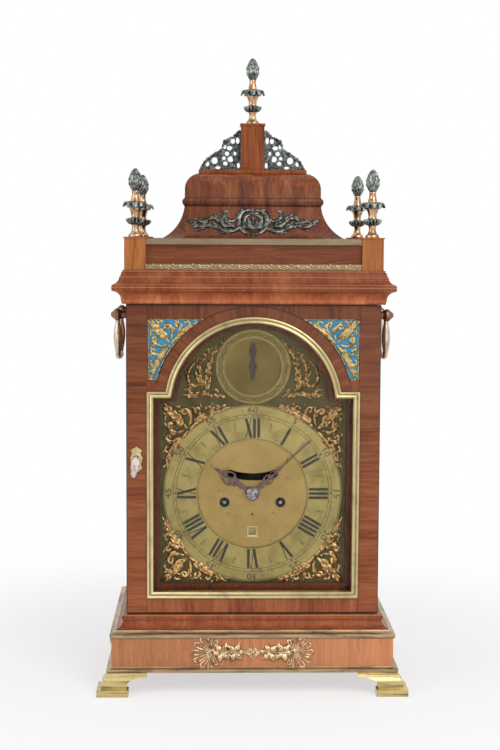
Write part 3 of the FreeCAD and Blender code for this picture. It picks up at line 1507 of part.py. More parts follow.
def hour_wheel():
    """Hour wheel on its pipe."""
    edge = polar(0, DIAL_Z, wheel_outline(HOUR_TEETH, HOUR_MODULE, math.pi + math.pi / HOUR_TEETH))
    body = slab_y(edge, HOUR_WHEEL_Y, HOUR_WHEEL_Y + WHEEL_T * 0.75)
    pipe = rod_y(0, DIAL_Z, HOUR_PIPE_R, HOUR_HAND_BACK - HAND_T, HOUR_WHEEL_Y + WHEEL_T)
    bore = rod_y(0, DIAL_Z, CANNON_PIPE_R + RUN_FIT, HOUR_HAND_BACK - HAND_T - 1, HOUR_WHEEL_Y + WHEEL_T + 1)
    return joined([body, pipe]).cut(bore)


CONTRATE_MODULE = 2 * (CONTRATE_R - 0.8) / CONTRATE_TEETH
CROWN_PINION_R = PINION_LEAVES * CONTRATE_MODULE / 2
CONTRATE_PITCH_Y = CROWN_Y + CROWN_PINION_R


def contrate_wheel():
    """Wheel with teeth that stand forward from its rim, and the pinion that the centre wheel drives."""
    z = CONTRATE_Z
    tip = CONTRATE_PITCH_Y - 0.7 * CONTRATE_MODULE
    root = CONTRATE_PITCH_Y + 1.3 * CONTRATE_MODULE
    disc_back = CONTRATE_Y + 1.6
    inner = CONTRATE_R - 1.6
    disc = rod_y(0, z, CONTRATE_R, CONTRATE_Y, disc_back)
    disc = without(disc, crossings(0, z, 4.2, inner - 0.6, 3, CONTRATE_Y - 1, disc_back + 1))
    rim = ring(0, z, CONTRATE_R, inner, root, disc_back)
    teeth = []
    half = math.pi * (CONTRATE_R - 0.8) / CONTRATE_TEETH
    profile = [(-half * 0.62, root), (-half * 0.08, tip), (half * 0.08, tip), (half * 0.62, root)]
    face = Part.Face(outline(profile + [(half * 0.62, root + 0.2), (-half * 0.62, root + 0.2)],
                             lambda a, b: V(a, b, z + inner + 0.1)))
    tooth = face.extrude(V(0, 0, CONTRATE_R - inner - 0.25))
    for index in range(CONTRATE_TEETH):
        teeth.append(clock_turn(tooth, 0, z, 360.0 * (index + 0.5) / CONTRATE_TEETH))
    leaves = pinion(0, z, CENTRE_WHEEL_Y - 1.2, TRAIN_MODULE, math.pi)
    return joined([disc, rim, arbor(0, z), leaves] + teeth)


POTENCE_LOW = DIAL_Z + 34.0
POTENCE_HIGH = DIAL_Z + 56.0
POTENCE_T = 4.0
CROWN_TIP_Z = VERGE_Z - 6.0


def crown_wheel():
    """Escape wheel on an upright arbor: a shallow cup with saw teeth, driven by its pinion."""
    rim_top = CROWN_TIP_Z - 4.0
    rim_low = rim_top - 3.5
    wall = 1.4
    cup = rod_z(0, CROWN_Y, CROWN_R, rim_low, rim_top)
    cup = cup.cut(rod_z(0, CROWN_Y, CROWN_R - wall, rim_low + 1.2, rim_top + 1))
    teeth = []
    width = 2 * math.pi * CROWN_R / CROWN_TEETH
    face = Part.Face(outline([(0, rim_top - 0.2), (width * 0.85, rim_top - 0.2), (width * 0.12, CROWN_TIP_Z),
                              (0, CROWN_TIP_Z)], lambda a, b: V(a, CROWN_Y - CROWN_R + 0.15, b)))
    tooth = face.extrude(V(0, wall - 0.25, 0))
    for index in range(CROWN_TEETH):
        copy = tooth.copy()
        copy.rotate(V(0, CROWN_Y, 0), V(0, 0, 1), 360.0 * index / CROWN_TEETH)
        teeth.append(copy)
    low = POTENCE_LOW + POTENCE_T
    shaft = rod_z(0, CROWN_Y, ARBOR_R - 0.2, low - 2.5, rim_low + 1.0)
    steps = [(r * math.sin(a), CROWN_Y + r * math.cos(a))
             for r, a in pinion_outline(PINION_LEAVES, CONTRATE_MODULE, 0.0)]
    rim_z = CONTRATE_Z + CONTRATE_R
    leaves = slab_z(steps, rim_z - 3.2, rim_z + 1.6)
    return joined([cup, shaft, leaves] + teeth)


def pendulum():
    """Verge with its two pallets, the bob pendulum behind and the mock bob at the front."""
    z = VERGE_Z
    pieces = [turned_y(0, z, [
        (ARBOR_R, MOCK_BOB_Y),
        (ARBOR_R, PENDULUM_Y + 3.0),
        (PIVOT_SMALL, PENDULUM_Y + 3.0),
        (PIVOT_SMALL, PENDULUM_Y + 9.5),
    ])]
    for y, lean in ((CROWN_Y - CROWN_R - 0.8, 40.0), (CROWN_Y + CROWN_R - 1.2, -40.0)):
        flag = box(-0.5, 0.5, y, y + 2.0, z - 5.2, z)
        pieces.append(clock_turn(flag, 0, z, lean))
    bob_z = z - PENDULUM_LEN
    pieces.append(rod_y(0, z, 2.8, PENDULUM_Y - 2.0, PENDULUM_Y + 2.0))
    pieces.append(rod_z(0, PENDULUM_Y, 1.1, bob_z, z))
    pieces.append(turned_y(0, bob_z, [
        (BOB_R * 0.35, PENDULUM_Y - 4.5),
        (BOB_R * 0.8, PENDULUM_Y - 3.0),
        (BOB_R, PENDULUM_Y),
        (BOB_R * 0.8, PENDULUM_Y + 3.0),
        (BOB_R * 0.35, PENDULUM_Y + 4.5),
    ]))
    pieces.append(rod_z(0, PENDULUM_Y, 2.0, bob_z - BOB_R - 4.0, bob_z))
    pieces.append(box(-0.8, 0.8, MOCK_BOB_Y, MOCK_BOB_Y + 0.8, z - SLOT_R, z))
    pieces.append(rod_y(0, z - SLOT_R, MOCK_BOB_R, MOCK_BOB_Y, MOCK_BOB_Y + 0.8))
    return joined(pieces)


def pin_wheel():
    """Pin wheel of the strike train, whose pins lift the hammer."""
    y = PIN_WHEEL_Y
    towards = bearing(PIN_X, PIN_Z, LOCKING_X, LOCKING_Z)
    back = bearing(PIN_X, PIN_Z, -WINDING_X, WINDING_Z)
    pieces = [wheel(PIN_X, PIN_Z, y, PIN_WHEEL_TEETH, PIN_MODULE, towards)]
    pieces.append(pinion(PIN_X, PIN_Z, GREAT_Y - 1.2, STRIKE_MODULE, back))
    pieces.append(arbor(PIN_X, PIN_Z))
    pieces.append(rod_y(PIN_X, PIN_Z, 4.8, y, y + WHEEL_T + 1.0))
    rim = PIN_WHEEL_TEETH * PIN_MODULE / 2 - 2.2
    for x, z in polar(PIN_X, PIN_Z, [(rim, 2 * math.pi * i / HAMMER_PINS) for i in range(HAMMER_PINS)]):
        pieces.append(rod_y(x, z, 0.8, y + WHEEL_T - 0.5, y + WHEEL_T + 2.8))
    return joined(pieces)


def locking_wheel():
    """Locking wheel of the strike train."""
    towards = bearing(LOCKING_X, LOCKING_Z, FLY_X, FLY_Z)
    back = bearing(LOCKING_X, LOCKING_Z, PIN_X, PIN_Z)
    return joined([
        wheel(LOCKING_X, LOCKING_Z, LOCKING_Y, LOCKING_TEETH, LOCKING_MODULE, towards, 3),
        rod_y(LOCKING_X, LOCKING_Z, 4.8, LOCKING_Y, LOCKING_Y + WHEEL_T + 1.0),
        pinion(LOCKING_X, LOCKING_Z, PIN_WHEEL_Y - 0.8, PIN_MODULE, back),
        arbor(LOCKING_X, LOCKING_Z),
    ])


def fly():
    """Air brake of the strike train: a two-winged vane."""
    back = bearing(FLY_X, FLY_Z, LOCKING_X, LOCKING_Z)
    start = LOCKING_Y + WHEEL_T * 4
    end = start + FLY_LEN
    half = FLY_SPAN / 2
    vane = box(FLY_X - 0.5, FLY_X + 0.5, start, end, FLY_Z - half, FLY_Z + half)
    return joined([
        vane,
        rod_y(FLY_X, FLY_Z, 2.2, start + 1.0, end - 1.0),
        pinion(FLY_X, FLY_Z, LOCKING_Y - 1.2, LOCKING_MODULE, back),
        arbor(FLY_X, FLY_Z),
    ])


# ---------------------------------------------------------------- plates and fixed parts
def plate_holes(y0, y1):
    """Pivot holes that both plates share."""
    small = PIVOT_SMALL + RUN_FIT
    holes = []
    for x, z in ((0, CONTRATE_Z), (PIN_X, PIN_Z), (LOCKING_X, LOCKING_Z), (FLY_X, FLY_Z),
                 (HAMMER_X, HAMMER_Z)):
        holes.append(rod_y(x, z, small, y0, y1))
    return holes


def movement_front_plate():
    """Front plate with its pivot holes."""
    y0 = FRONT_PLATE
    y1 = FRONT_PLATE_IN
    plate = box(-PLATE_HALF, PLATE_HALF, y0, y1, PLATE_BOTTOM, PLATE_TOP)
    holes = plate_holes(y0 - 1, y1 + 1)
    holes.append(rod_y(0, DIAL_Z, ARBOR_R + RUN_FIT, y0 - 1, y1 + 1))
    holes.append(rod_y(0, VERGE_Z, ARBOR_R + RUN_FIT, y0 - 1, y1 + 1))
    holes.append(rod_y(0, DIAL_Z - MOTION_CENTRES, PIVOT_SMALL + RUN_FIT, y0 - 1, y1 + 1))
    for side in (-1, 1):
        holes.append(rod_y(side * WINDING_X, WINDING_Z, WINDING_SQUARE * 0.72 + RUN_FIT, y0 - 1, y1 + 1))
        holes.append(rod_y(side * BARREL_X, BARREL_Z, ARBOR_R + 0.6 + RUN_FIT, y0 - 1, y1 + 1))
    return without(plate, holes)


def movement_back_plate():
    """Back plate with the five pillars riveted to it."""
    y0 = BACK_PLATE_IN
    y1 = BACK_PLATE
    plate = box(-PLATE_HALF, PLATE_HALF, y0, y1, PLATE_BOTTOM, PLATE_TOP)
    holes = plate_holes(y0 - 1, y1 + 1)
    holes.append(rod_y(0, DIAL_Z, PIVOT_SMALL + RUN_FIT, y0 - 1, y1 + 1))
    holes.append(rod_y(0, VERGE_Z, 2.6, y0 - 1, y1 + 1))
    for side in (-1, 1):
        holes.append(rod_y(side * WINDING_X, WINDING_Z, ARBOR_R + RUN_FIT, y0 - 1, y1 + 1))
        holes.append(rod_y(side * BARREL_X, BARREL_Z, ARBOR_R + RUN_FIT, y0 - 1, y1 + 1))
    pieces = [without(plate, holes)]
    edge = PLATE_HALF - PILLAR_R - 1.0
    low = PLATE_BOTTOM + PILLAR_R + 1.0
    high = PLATE_TOP - PILLAR_R - 1.0
    middle = (FRONT_PLATE_IN + BACK_PLATE_IN) / 2
    for x, z in ((-edge, low), (edge, low), (-edge, high), (edge, high), (0, low)):
        pieces.append(turned_y(x, z, [
            (PILLAR_R, FRONT_PLATE_IN),
            (PILLAR_R, FRONT_PLATE_IN + 5.0),
            (PILLAR_R * 0.65, FRONT_PLATE_IN + 5.0),
            (PILLAR_R * 0.65, middle - 4.0),
            (PILLAR_R, middle - 4.0),
            (PILLAR_R, middle + 4.0),
            (PILLAR_R * 0.65, middle + 4.0),
            (PILLAR_R * 0.65, BACK_PLATE_IN - 5.0),
            (PILLAR_R, BACK_PLATE_IN - 5.0),
            (PILLAR_R, BACK_PLATE_IN),
        ]))
    return joined(pieces)


def front_plate_cocks():
    """Potence that carries the crown wheel, and the cock in front of the minute wheel."""
    half = 5.0
    reach = CROWN_Y + 3.2
    potence = joined([
        box(-half, half, FRONT_PLATE_IN, FRONT_PLATE_IN + 3.5, POTENCE_LOW, POTENCE_HIGH + POTENCE_T),
        box(-half, half, FRONT_PLATE_IN, reach, POTENCE_LOW, POTENCE_LOW + POTENCE_T),
        box(-half, half, FRONT_PLATE_IN, reach, POTENCE_HIGH, POTENCE_HIGH + POTENCE_T),
    ])
    radius = ARBOR_R - 0.2 + RUN_FIT
    potence = without(potence, [
        rod_z(0, CROWN_Y, radius, POTENCE_LOW + POTENCE_T - 2.6, POTENCE_LOW + POTENCE_T + 1),
        rod_z(0, CROWN_Y, radius, POTENCE_HIGH - 1, POTENCE_HIGH + POTENCE_T + 1),
    ])
    pivot_z = DIAL_Z - MOTION_CENTRES
    foot_z = pivot_z - 23.0
    cock = joined([
        box(-4.0, 4.0, MINUTE_COCK_Y, FRONT_PLATE, foot_z, foot_z + 5.0),
        box(-4.0, 4.0, MINUTE_COCK_Y, MINUTE_COCK_Y + 1.4, foot_z, pivot_z + 3.0),
    ])
    cock = cock.cut(rod_y(0, pivot_z, PIVOT_SMALL + RUN_FIT, MINUTE_COCK_Y - 1, MINUTE_COCK_Y + 3.0))
    return [potence, cock]


BELL_X = 0.0
BELL_Y = BACK_PLATE_IN - BELL_IN


def back_plate_cocks():
    """Cock that holds the verge's back pivot, and the stand of the hour bell."""
    bridge_y = PENDULUM_Y + 6.0
    z0 = VERGE_Z - 7.0
    z1 = VERGE_Z + 7.0
    cock = joined([
        box(-18.0, 18.0, bridge_y, bridge_y + 3.0, z0, z1),
        box(-18.0, -12.0, BACK_PLATE, bridge_y, z0, z1),
        box(12.0, 18.0, BACK_PLATE, bridge_y, z0, z1),
    ])
    cock = cock.cut(rod_y(0, VERGE_Z, PIVOT_SMALL + RUN_FIT, bridge_y - 1, bridge_y + 4.0))
    arm_z = BELL_RIM_Z + BELL_H + 4.0
    stand_x = BELL_X + BELL_R + 4.0
    stand = joined([
        box(stand_x, stand_x + 8.0, BACK_PLATE, BACK_PLATE + 4.0, PLATE_TOP - 22.0, arm_z + 4.0),
        box(BELL_X - 5.0, stand_x + 8.0, BELL_Y - 5.0, BELL_Y + 5.0, arm_z, arm_z + 4.0),
        box(stand_x, stand_x + 8.0, BELL_Y - 5.0, BACK_PLATE + 4.0, arm_z, arm_z + 4.0),
        rod_z(BELL_X, BELL_Y, 2.0, BELL_RIM_Z + BELL_H - 6.0, arm_z),
        rod_z(BELL_X, BELL_Y, 4.0, BELL_RIM_Z + BELL_H, arm_z),
    ])
    return [cock, stand]


def hour_bell():
    """Cup-shaped bell, mouth down, held at its crown."""
    wall = 1.6
    outer = [(BELL_R, 0), (BELL_R - 4.0, BELL_H * 0.4), (BELL_R * 0.55, BELL_H)]
    inner = [(BELL_R - wall, -1.0), (BELL_R - 4.0 - wall, BELL_H * 0.39), (BELL_R * 0.55 - 0.6, BELL_H - wall)]
    shell = turned_z(BELL_X, BELL_Y, BELL_RIM_Z, outer).cut(turned_z(BELL_X, BELL_Y, BELL_RIM_Z, inner))
    return shell.cut(rod_z(BELL_X, BELL_Y, 2.0, BELL_RIM_Z, BELL_RIM_Z + BELL_H + 1))


def hammer():
    """Hammer of the strike, on its own arbor, with the tail that the pins lift."""
    head_z = BELL_RIM_Z + 2.0
    head_end = BELL_X - BELL_R - 1.4
    y = PIN_WHEEL_Y + WHEEL_T + 0.6
    tail_z = PIN_Z + 18.0
    return joined([
        arbor(HAMMER_X, HAMMER_Z),
        rod_z(HAMMER_X, BELL_Y, 1.3, HAMMER_Z, head_z),
        rod_x(BELL_Y, head_z, 4.0, HAMMER_X - 5.0, head_end),
        box(HAMMER_X - 1.0, HAMMER_X + 1.0, y, y + 2.0, tail_z, HAMMER_Z),
        rod_y(HAMMER_X, HAMMER_Z, 2.4, y - 0.5, y + 3.0),
    ])


def seat_board():
    half = HALF_W - CASE_WALL
    return box(-half, half, FRONT_PLATE, BACK_PLATE, PLATE_BOTTOM - SEAT_T, PLATE_BOTTOM)


# ---------------------------------------------------------------- nodes
def finial_seats():
    """The four post tops and the top of the pedestal."""
    seat = POST_TOP + POST_CAP_T
    corners = [(x, y, seat) for x in (-POST_X, POST_X) for y in (-POST_Y, POST_Y)]
    return corners + [(0, 0, BLOCK_TOP)]


def build():
    save("feet", four(foot()))
    save("plinth", plinth())
    save("base_bands", base_bands())
    save("base_moulding", base_moulding())
    right_side = case_side()
    save("case_side_right", right_side)
    save("case_side_left", mirror_x(right_side))
    right_fret = side_fret()
    save("side_frets", [right_fret, mirror_x(right_fret)])
    right_cloth = side_cloth()
    save("side_cloth", [right_cloth, mirror_x(right_cloth)])
    save("cornice", cornice())
    save("dial_mask", dial_mask())
    save("door_pivots", door_pivots())
    save("corner_posts", four(corner_post()))
    save("gallery_panels", gallery_runs(GALLERY_IN, GALLERY_T, CORNICE_TOP, GALLERY_TOP))
    save("gallery_brass", gallery_brass())
    save("bell_top", bell_top())
    save("top_pedestal", top_pedestal())
    right_top_fret = top_fret()
    save("top_frets", [right_top_fret, mirror_x(right_top_fret)])
    save("finials", [finial(x, y, z) for x, y, z in finial_seats()])
    save("bell_mount", bell_mount())
    save("plinth_mounts", plinth_mounts())
    right_plate = handle_plate()
    save("handle_plates", [right_plate, mirror_x(right_plate)])
    right_bail = bail()
    save("handle_right", right_bail)
    save("handle_left", mirror_x(right_bail))
    save("front_door_frame", front_door_frame())
    save("front_bezel", front_bezel())
    save("front_glass", front_glass())
    right_corner = front_fret()
    save("front_frets", [right_corner, mirror_x(right_corner)])
    right_corner_cloth = fret_cloth()
    save("fret_cloth", [right_corner_cloth, mirror_x(right_corner_cloth)])
    save("door_lock", door_lock())
    save("escutcheon", escutcheon())
    save("keyhole_cover", keyhole_cover())
    save("back_door_frame", back_door_frame())
    save("back_door_glass", back_door_glass())
    save("dial_plate", dial_plate())
    save("dial_rings", dial_rings())
    save("spandrels", spandrels())
    save("date_ring", date_ring())
    save("hour_hand", hour_hand())
    save("minute_hand", [minute_hand(), hand_collet()])
    save("arch_hand", arch_hand())
    save("going_fusee", fusee(1, GREAT_TEETH, GREAT_MODULE, 0, DIAL_Z))
    save("strike_fusee", fusee(-1, STRIKE_GREAT_TEETH, STRIKE_MODULE, PIN_X, PIN_Z))
    save("going_barrel", barrel(1))
    save("strike_barrel", barrel(-1))
    save("centre_arbor", centre_arbor())
    save("minute_wheel", minute_wheel())
    save("hour_wheel", hour_wheel())
    save("contrate_wheel", contrate_wheel())
    save("crown_wheel", crown_wheel())
    save("pendulum", pendulum())
    save("pin_wheel", pin_wheel())
    save("locking_wheel", locking_wheel())
    save("fly", fly())
    save("movement_front_plate", movement_front_plate())
    save("movement_back_plate", movement_back_plate())
    save("front_plate_cocks", front_plate_cocks())
    save("back_plate_cocks", back_plate_cocks())
    save("hour_bell", hour_bell())
    save("hammer", hammer())
    save("seat_board", seat_board())


build()
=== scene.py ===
import functools
import math

import bpy
from mathutils import Matrix, Vector


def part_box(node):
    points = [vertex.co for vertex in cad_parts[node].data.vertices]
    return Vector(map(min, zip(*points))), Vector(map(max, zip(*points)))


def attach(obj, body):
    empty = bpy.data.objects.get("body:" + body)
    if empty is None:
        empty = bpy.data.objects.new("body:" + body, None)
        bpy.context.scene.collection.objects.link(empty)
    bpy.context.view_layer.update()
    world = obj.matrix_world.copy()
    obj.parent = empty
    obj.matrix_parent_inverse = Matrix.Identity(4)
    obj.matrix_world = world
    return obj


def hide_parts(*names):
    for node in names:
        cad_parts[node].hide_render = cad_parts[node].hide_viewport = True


bl_info = {
    "name": "Bracket clock dressing",
    "version": (1, 0, 0),
    "blender": (4, 5, 0),
    "location": "View3D > Sidebar > Bracket clock",
    "description": "Veneers, brasswork, dial and mounts for the bracket clock",
    "category": "Object",
}

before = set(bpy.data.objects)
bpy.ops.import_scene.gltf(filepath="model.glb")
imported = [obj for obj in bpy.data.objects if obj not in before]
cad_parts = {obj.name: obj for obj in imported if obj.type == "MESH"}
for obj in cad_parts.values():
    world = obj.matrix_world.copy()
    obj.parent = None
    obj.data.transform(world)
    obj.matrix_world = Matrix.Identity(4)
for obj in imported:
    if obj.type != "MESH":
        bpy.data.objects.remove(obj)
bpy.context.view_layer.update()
MM = 0.001


# ---------------------------------------------------------------- places taken from the frame
def span(node):
    """Lowest and highest corner of a node, in millimetres."""
    low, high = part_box(node)
    return low / MM, high / MM


DOOR_LOW, DOOR_HIGH = span("front_door_frame")
BEZEL_LOW, BEZEL_HIGH = span("front_bezel")
RING_LOW, RING_HIGH = span("dial_rings")
CORNICE_LOW, CORNICE_HIGH = span("cornice")
BASE_LOW, BASE_HIGH = span("base_moulding")
BELL_LOW, BELL_HIGH = span("bell_top")
PLINTH_LOW, PLINTH_HIGH = span("plinth")
RING_R = RING_HIGH.x
DIAL_Z = RING_LOW.z + RING_R
DIAL_FRONT = span("dial_plate")[0].y
RING_FRONT = RING_LOW.y
ARCH_RING_R = 35.6
ARCH_RING_Z = RING_HIGH.z - ARCH_RING_R
BEZEL_HALF = BEZEL_HIGH.x
BEZEL_R = 84.1
ARCH_Z = BEZEL_HIGH.z - BEZEL_R
SHOULDER_Z = ARCH_Z + 13.5
WINDING_X = 26.9
WINDING_Z = DIAL_Z - 8.8
DATE_Z = DIAL_Z - 37.4
DATE_HALF = 3.25
SQUARE_R = 4.2
MOCK_BOB_BACK = -30.0
MATTED_R = 53.5
ARCH_DISC_R = 27.5
ARCH_SCROLL_R = 31.3
ARCH_SCROLL_LOW_R = 27.9
MINUTE_DEPTH = (-70.9, -70.1)
ARCH_HAND_DEPTH = (-68.35, -67.55)
MINUTE_ANGLE = 47.0
HOUR_ANGLE = 300 + 47 / 12
POST_X = 111.4
POST_Y = 74.4
FINIAL_TALL = 64.0
FINIAL_WIDE = 12.8
BLOCK_HALF = 11.5
BAIL_X = 131.0
BAIL_HALF = 26.9
PLINTH_PANEL_Z = 26.0


# ---------------------------------------------------------------- settings
def colour(name, description, value):
    """A colour setting."""
    return bpy.props.FloatVectorProperty(name=name, description=description, default=value, size=3,
                                         min=0.0, max=1.0, subtype="COLOR")


def number(name, description, value, low=0.0, **options):
    """A number setting."""
    return bpy.props.FloatProperty(name=name, description=description, default=value, min=low, **options)


def length(name, description, value):
    """A length setting, given in millimetres."""
    return number(name, description, value * MM, unit="LENGTH", precision=5)


class ClockFinishes(bpy.types.PropertyGroup):
    """Colours of the woods, metals and cloth."""
    veneer_dark: colour("Veneer dark", "Dark streaks of the red-brown veneer", (0.07, 0.016, 0.006))
    veneer: colour("Veneer", "Main tone of the red-brown veneer", (0.2, 0.052, 0.015))
    veneer_light: colour("Veneer light", "Light streaks of the red-brown veneer", (0.34, 0.112, 0.04))
    post: colour("Posts", "Orange-brown wood of the posts and the block", (0.38, 0.128, 0.032))
    plinth: colour("Plinth", "Satin wood of the plinth", (0.52, 0.21, 0.095))
    brass: colour("Brass", "Pale brass of the bezel, rail and bands", (0.54, 0.45, 0.24))
    gilt: colour("Gilt", "Gilding of the castings of the dial", (0.5, 0.31, 0.125))
    bronze: colour("Bronze", "Dark mounts on the top", (0.135, 0.14, 0.122))
    cloth: colour("Cloth", "Blue cloth behind the frets", (0.02, 0.25, 0.47))
    ring: colour("Chapter ring", "Brass of the rings", (0.335, 0.267, 0.1))
    matting: colour("Dial centre", "Matted centre of the dial", (0.42, 0.295, 0.11))


class ClockSizes(bpy.types.PropertyGroup):
    """Sizes of the ornament and the dial marks."""
    hour_mark: length("Hour numeral", "Height of the hour numerals", 18.4)
    minute_mark: length("Minute numeral", "Height of the minute numerals", 5.8)
    ink: length("Wax", "Thickness of the wax in the dial marks", 0.06)
    strip_pitch: length("Strip pitch", "Length of one leaf of the gallery strip", 9.0)
    flame: bpy.props.IntProperty(name="Flame scales", description="Scales round each flame", default=8, min=5)


class ClockStudio(bpy.types.PropertyGroup):
    """Light and floor."""
    key_power: number("Key light", "Power of the large lamp", 13.0, unit="POWER")
    fill_power: number("Fill light", "Power of the side lamp", 6.0, unit="POWER")
    low_power: number("Low light", "Power of the lamp near the floor", 2.2, unit="POWER")
    room: number("Room light", "Level of the room's own light", 0.62)
    lens: number("Lens", "Focal length of the camera", 72.1, 1.0, unit="CAMERA")


# ---------------------------------------------------------------- shader helpers
MATERIALS = {}


class Tree:
    """A node tree with short ways to add nodes."""

    def __init__(self, owner):
        owner.use_nodes = True
        self.nodes = owner.node_tree.nodes
        self.links = owner.node_tree.links

    def put(self, socket, value):
        if isinstance(value, bpy.types.NodeSocket):
            self.links.new(value, socket)
        elif isinstance(value, tuple) and len(value) == 3 and len(socket.default_value) == 4:
            socket.default_value = (*value, 1.0)
        else:
            socket.default_value = value

    def node(self, kind, out=0, **inputs):
        """Adds a node; in0, in1 and so on are sockets by number, the others are settings or named sockets."""
        node = self.nodes.new(kind)
        for key, value in inputs.items():
            if hasattr(node, key):
                setattr(node, key, value)
            elif key.startswith("in"):
                self.put(node.inputs[int(key[2:])], value)
            else:
                self.put(node.inputs[key.replace("_", " ")], value)
        return node.outputs[out]

    def math(self, operation, a, b=0.0, c=0.0):
        return self.node("ShaderNodeMath", operation=operation, in0=a, in1=b, in2=c)

    def times(self, *values):
        return functools.reduce(lambda a, b: self.math("MULTIPLY", a, b), values)

    def most(self, *values):
        return functools.reduce(lambda a, b: self.math("MAXIMUM", a, b), values)

    def minus(self, a, b):
        return self.math("SUBTRACT", a, b)

    def over(self, a, b):
        return self.math("GREATER_THAN", a, b)

    def under(self, a, b):
        return self.math("LESS_THAN", a, b)

    def near(self, a, b, gap):
        return self.math("COMPARE", a, b, gap)

    def far(self, x, z):
        """Distance from the point where both values are nought."""
        return self.math("SQRT", self.math("ADD", self.times(x, x), self.times(z, z)))


class Finish(Tree):
    """A named material with one main shader, worked out in object coordinates."""

    def __init__(self, name, metallic=0.0, roughness=0.4, coat=0.0, specular=0.5):
        MATERIALS[name] = bpy.data.materials.new(name)
        super().__init__(MATERIALS[name])
        self.inputs = self.nodes["Principled BSDF"].inputs
        for socket, value in (("Metallic", metallic), ("Roughness", roughness), ("Coat Weight", coat),
                              ("Coat Roughness", 0.12), ("Specular IOR Level", specular)):
            self.inputs[socket].default_value = value
        self.spot = self.node("ShaderNodeTexCoord", out="Object")

    def axes(self):
        node = self.nodes.new("ShaderNodeSeparateXYZ")
        self.put(node.inputs[0], self.spot)
        return tuple(node.outputs)

    def place(self, *scale):
        """Object coordinates scaled by three numbers."""
        return self.node("ShaderNodeMapping", Vector=self.spot, Scale=scale)

    def noise(self, at, detail=4.0, rough=0.55, distortion=0.0, scale=1.0):
        """Noise at a vector, or at the object coordinates scaled by a number."""
        vector = at if isinstance(at, bpy.types.NodeSocket) else self.place(at, at, at)
        return self.node("ShaderNodeTexNoise", Vector=vector, Scale=scale, Detail=detail, Roughness=rough,
                         Distortion=distortion)

    def ramp(self, value, *stops):
        node = self.nodes.new("ShaderNodeValToRGB")
        self.put(node.inputs[0], value)
        elements = node.color_ramp.elements
        for index, (at, tone) in enumerate(stops):
            element = elements[index] if index < 2 else elements.new(at)
            element.position = at
            element.color = (tone, tone, tone, 1.0) if isinstance(tone, float) else (*tone, 1.0)
        return node.outputs[0]

    def blend(self, factor, a, b, kind="MIX"):
        return self.node("ShaderNodeMix", out=2, data_type="RGBA", blend_type=kind, in0=factor, in6=a, in7=b)

    def join(self, x, y, z):
        return self.node("ShaderNodeCombineXYZ", X=x, Y=y, Z=z)

    def done(self, tone, rough=(), bump=()):
        """Links the colour, the roughness (value, low, high) and the bump (height, depth, strength)."""
        self.put(self.inputs["Base Color"], tone)
        if rough:
            self.put(self.inputs["Roughness"], self.node("ShaderNodeMapRange", Value=rough[0], To_Min=rough[1],
                                                         To_Max=rough[2]))
        if bump:
            self.put(self.inputs["Normal"], self.node("ShaderNodeBump", Height=bump[0], Distance=bump[1],
                                                      Strength=bump[2]))


def tinted(tone, factor):
    """A tone made darker or lighter, kept inside 0 to 1."""
    return tuple(min(1.0, channel * factor) for channel in tone)


def grain(finish, vector, tones, figure):
    """Streaked wood on a vector that is already stretched along the grain: its colour and its figure."""
    streak = finish.noise(vector, 6.0, 0.62, 0.4)
    bands = finish.noise(vector, 3.0, 0.5, 0.8, 0.17)
    mixed = finish.math("MULTIPLY_ADD", streak, 1.0 - figure, finish.times(bands, figure))
    tone = finish.ramp(mixed, (0.36, tones[0]), (0.64, tones[2]), (0.5, tones[1]))
    flecks = finish.ramp(finish.noise(vector, 2.0, 0.5, scale=3.1), (0.33, 0.45), (0.42, 1.0))
    return finish.blend(0.6, tone, flecks, "MULTIPLY"), mixed


def stretched(finish, along, fine, run):
    """Object coordinates squeezed along one axis, with a slow wander."""
    scale = (run, fine, fine) if along == "X" else (fine, fine, run)
    drift = finish.times(finish.minus(finish.noise(9, 2.0, 0.5), 0.5), fine * 0.02)
    return finish.node("ShaderNodeVectorMath", operation="ADD", in0=finish.place(*scale),
                       in1=finish.join(drift, drift, drift))


def painted_shading(finish, tone, axis, start, end, first, last):
    """Painted shade and light: the tone made darker or lighter along one axis, as the light falls."""
    level = finish.node("ShaderNodeMapRange", in0=finish.axes()[axis], in1=start * MM, in2=end * MM, in3=first,
                        in4=last)
    return finish.blend(1.0, tone, finish.join(level, level, level), "MULTIPLY")


# Tone of the painted highlights on the arrises of the mouldings; below it the tone of the thin dark lines.
ARRIS_HIGHLIGHT_TONE = (0.4, 0.19, 0.1)
LINE_TONE = (0.03, 0.012, 0.008)


def veneer(name, tones, along, fine, run, lines=(), line=0.45, arris_highlights=(), shade=(), coat=0.04, figure=0.5,
           rough=(0.24, 0.42)):
    """Polished veneer with its grain along one axis, thin dark lines and painted highlights on the arrises at given
    heights, and painted shading along an axis if shade is given.
    """
    finish = Finish(name, roughness=0.3, coat=coat, specular=0.18)
    tone, mixed = grain(finish, stretched(finish, along, fine, run), tones, figure)
    cloud = finish.ramp(finish.noise(14, 3.0), (0.35, 0.0), (0.7, 0.45))
    tone = finish.blend(cloud, tone, tinted(tones[0], 1.5))
    if shade:
        tone = painted_shading(finish, tone, *shade)
    # Stripes of painted highlight on the arrises, then the thin dark lines.
    for heights, line_tone in ((arris_highlights, ARRIS_HIGHLIGHT_TONE), (lines, LINE_TONE)):
        if heights:
            stripes = [finish.near(finish.axes()[2], at * MM, line * MM) for at in heights]
            tone = finish.blend(finish.times(finish.most(*stripes), 0.8), tone, line_tone)
    finish.done(tone, (mixed, *rough), (mixed, 0.0001, 0.25))


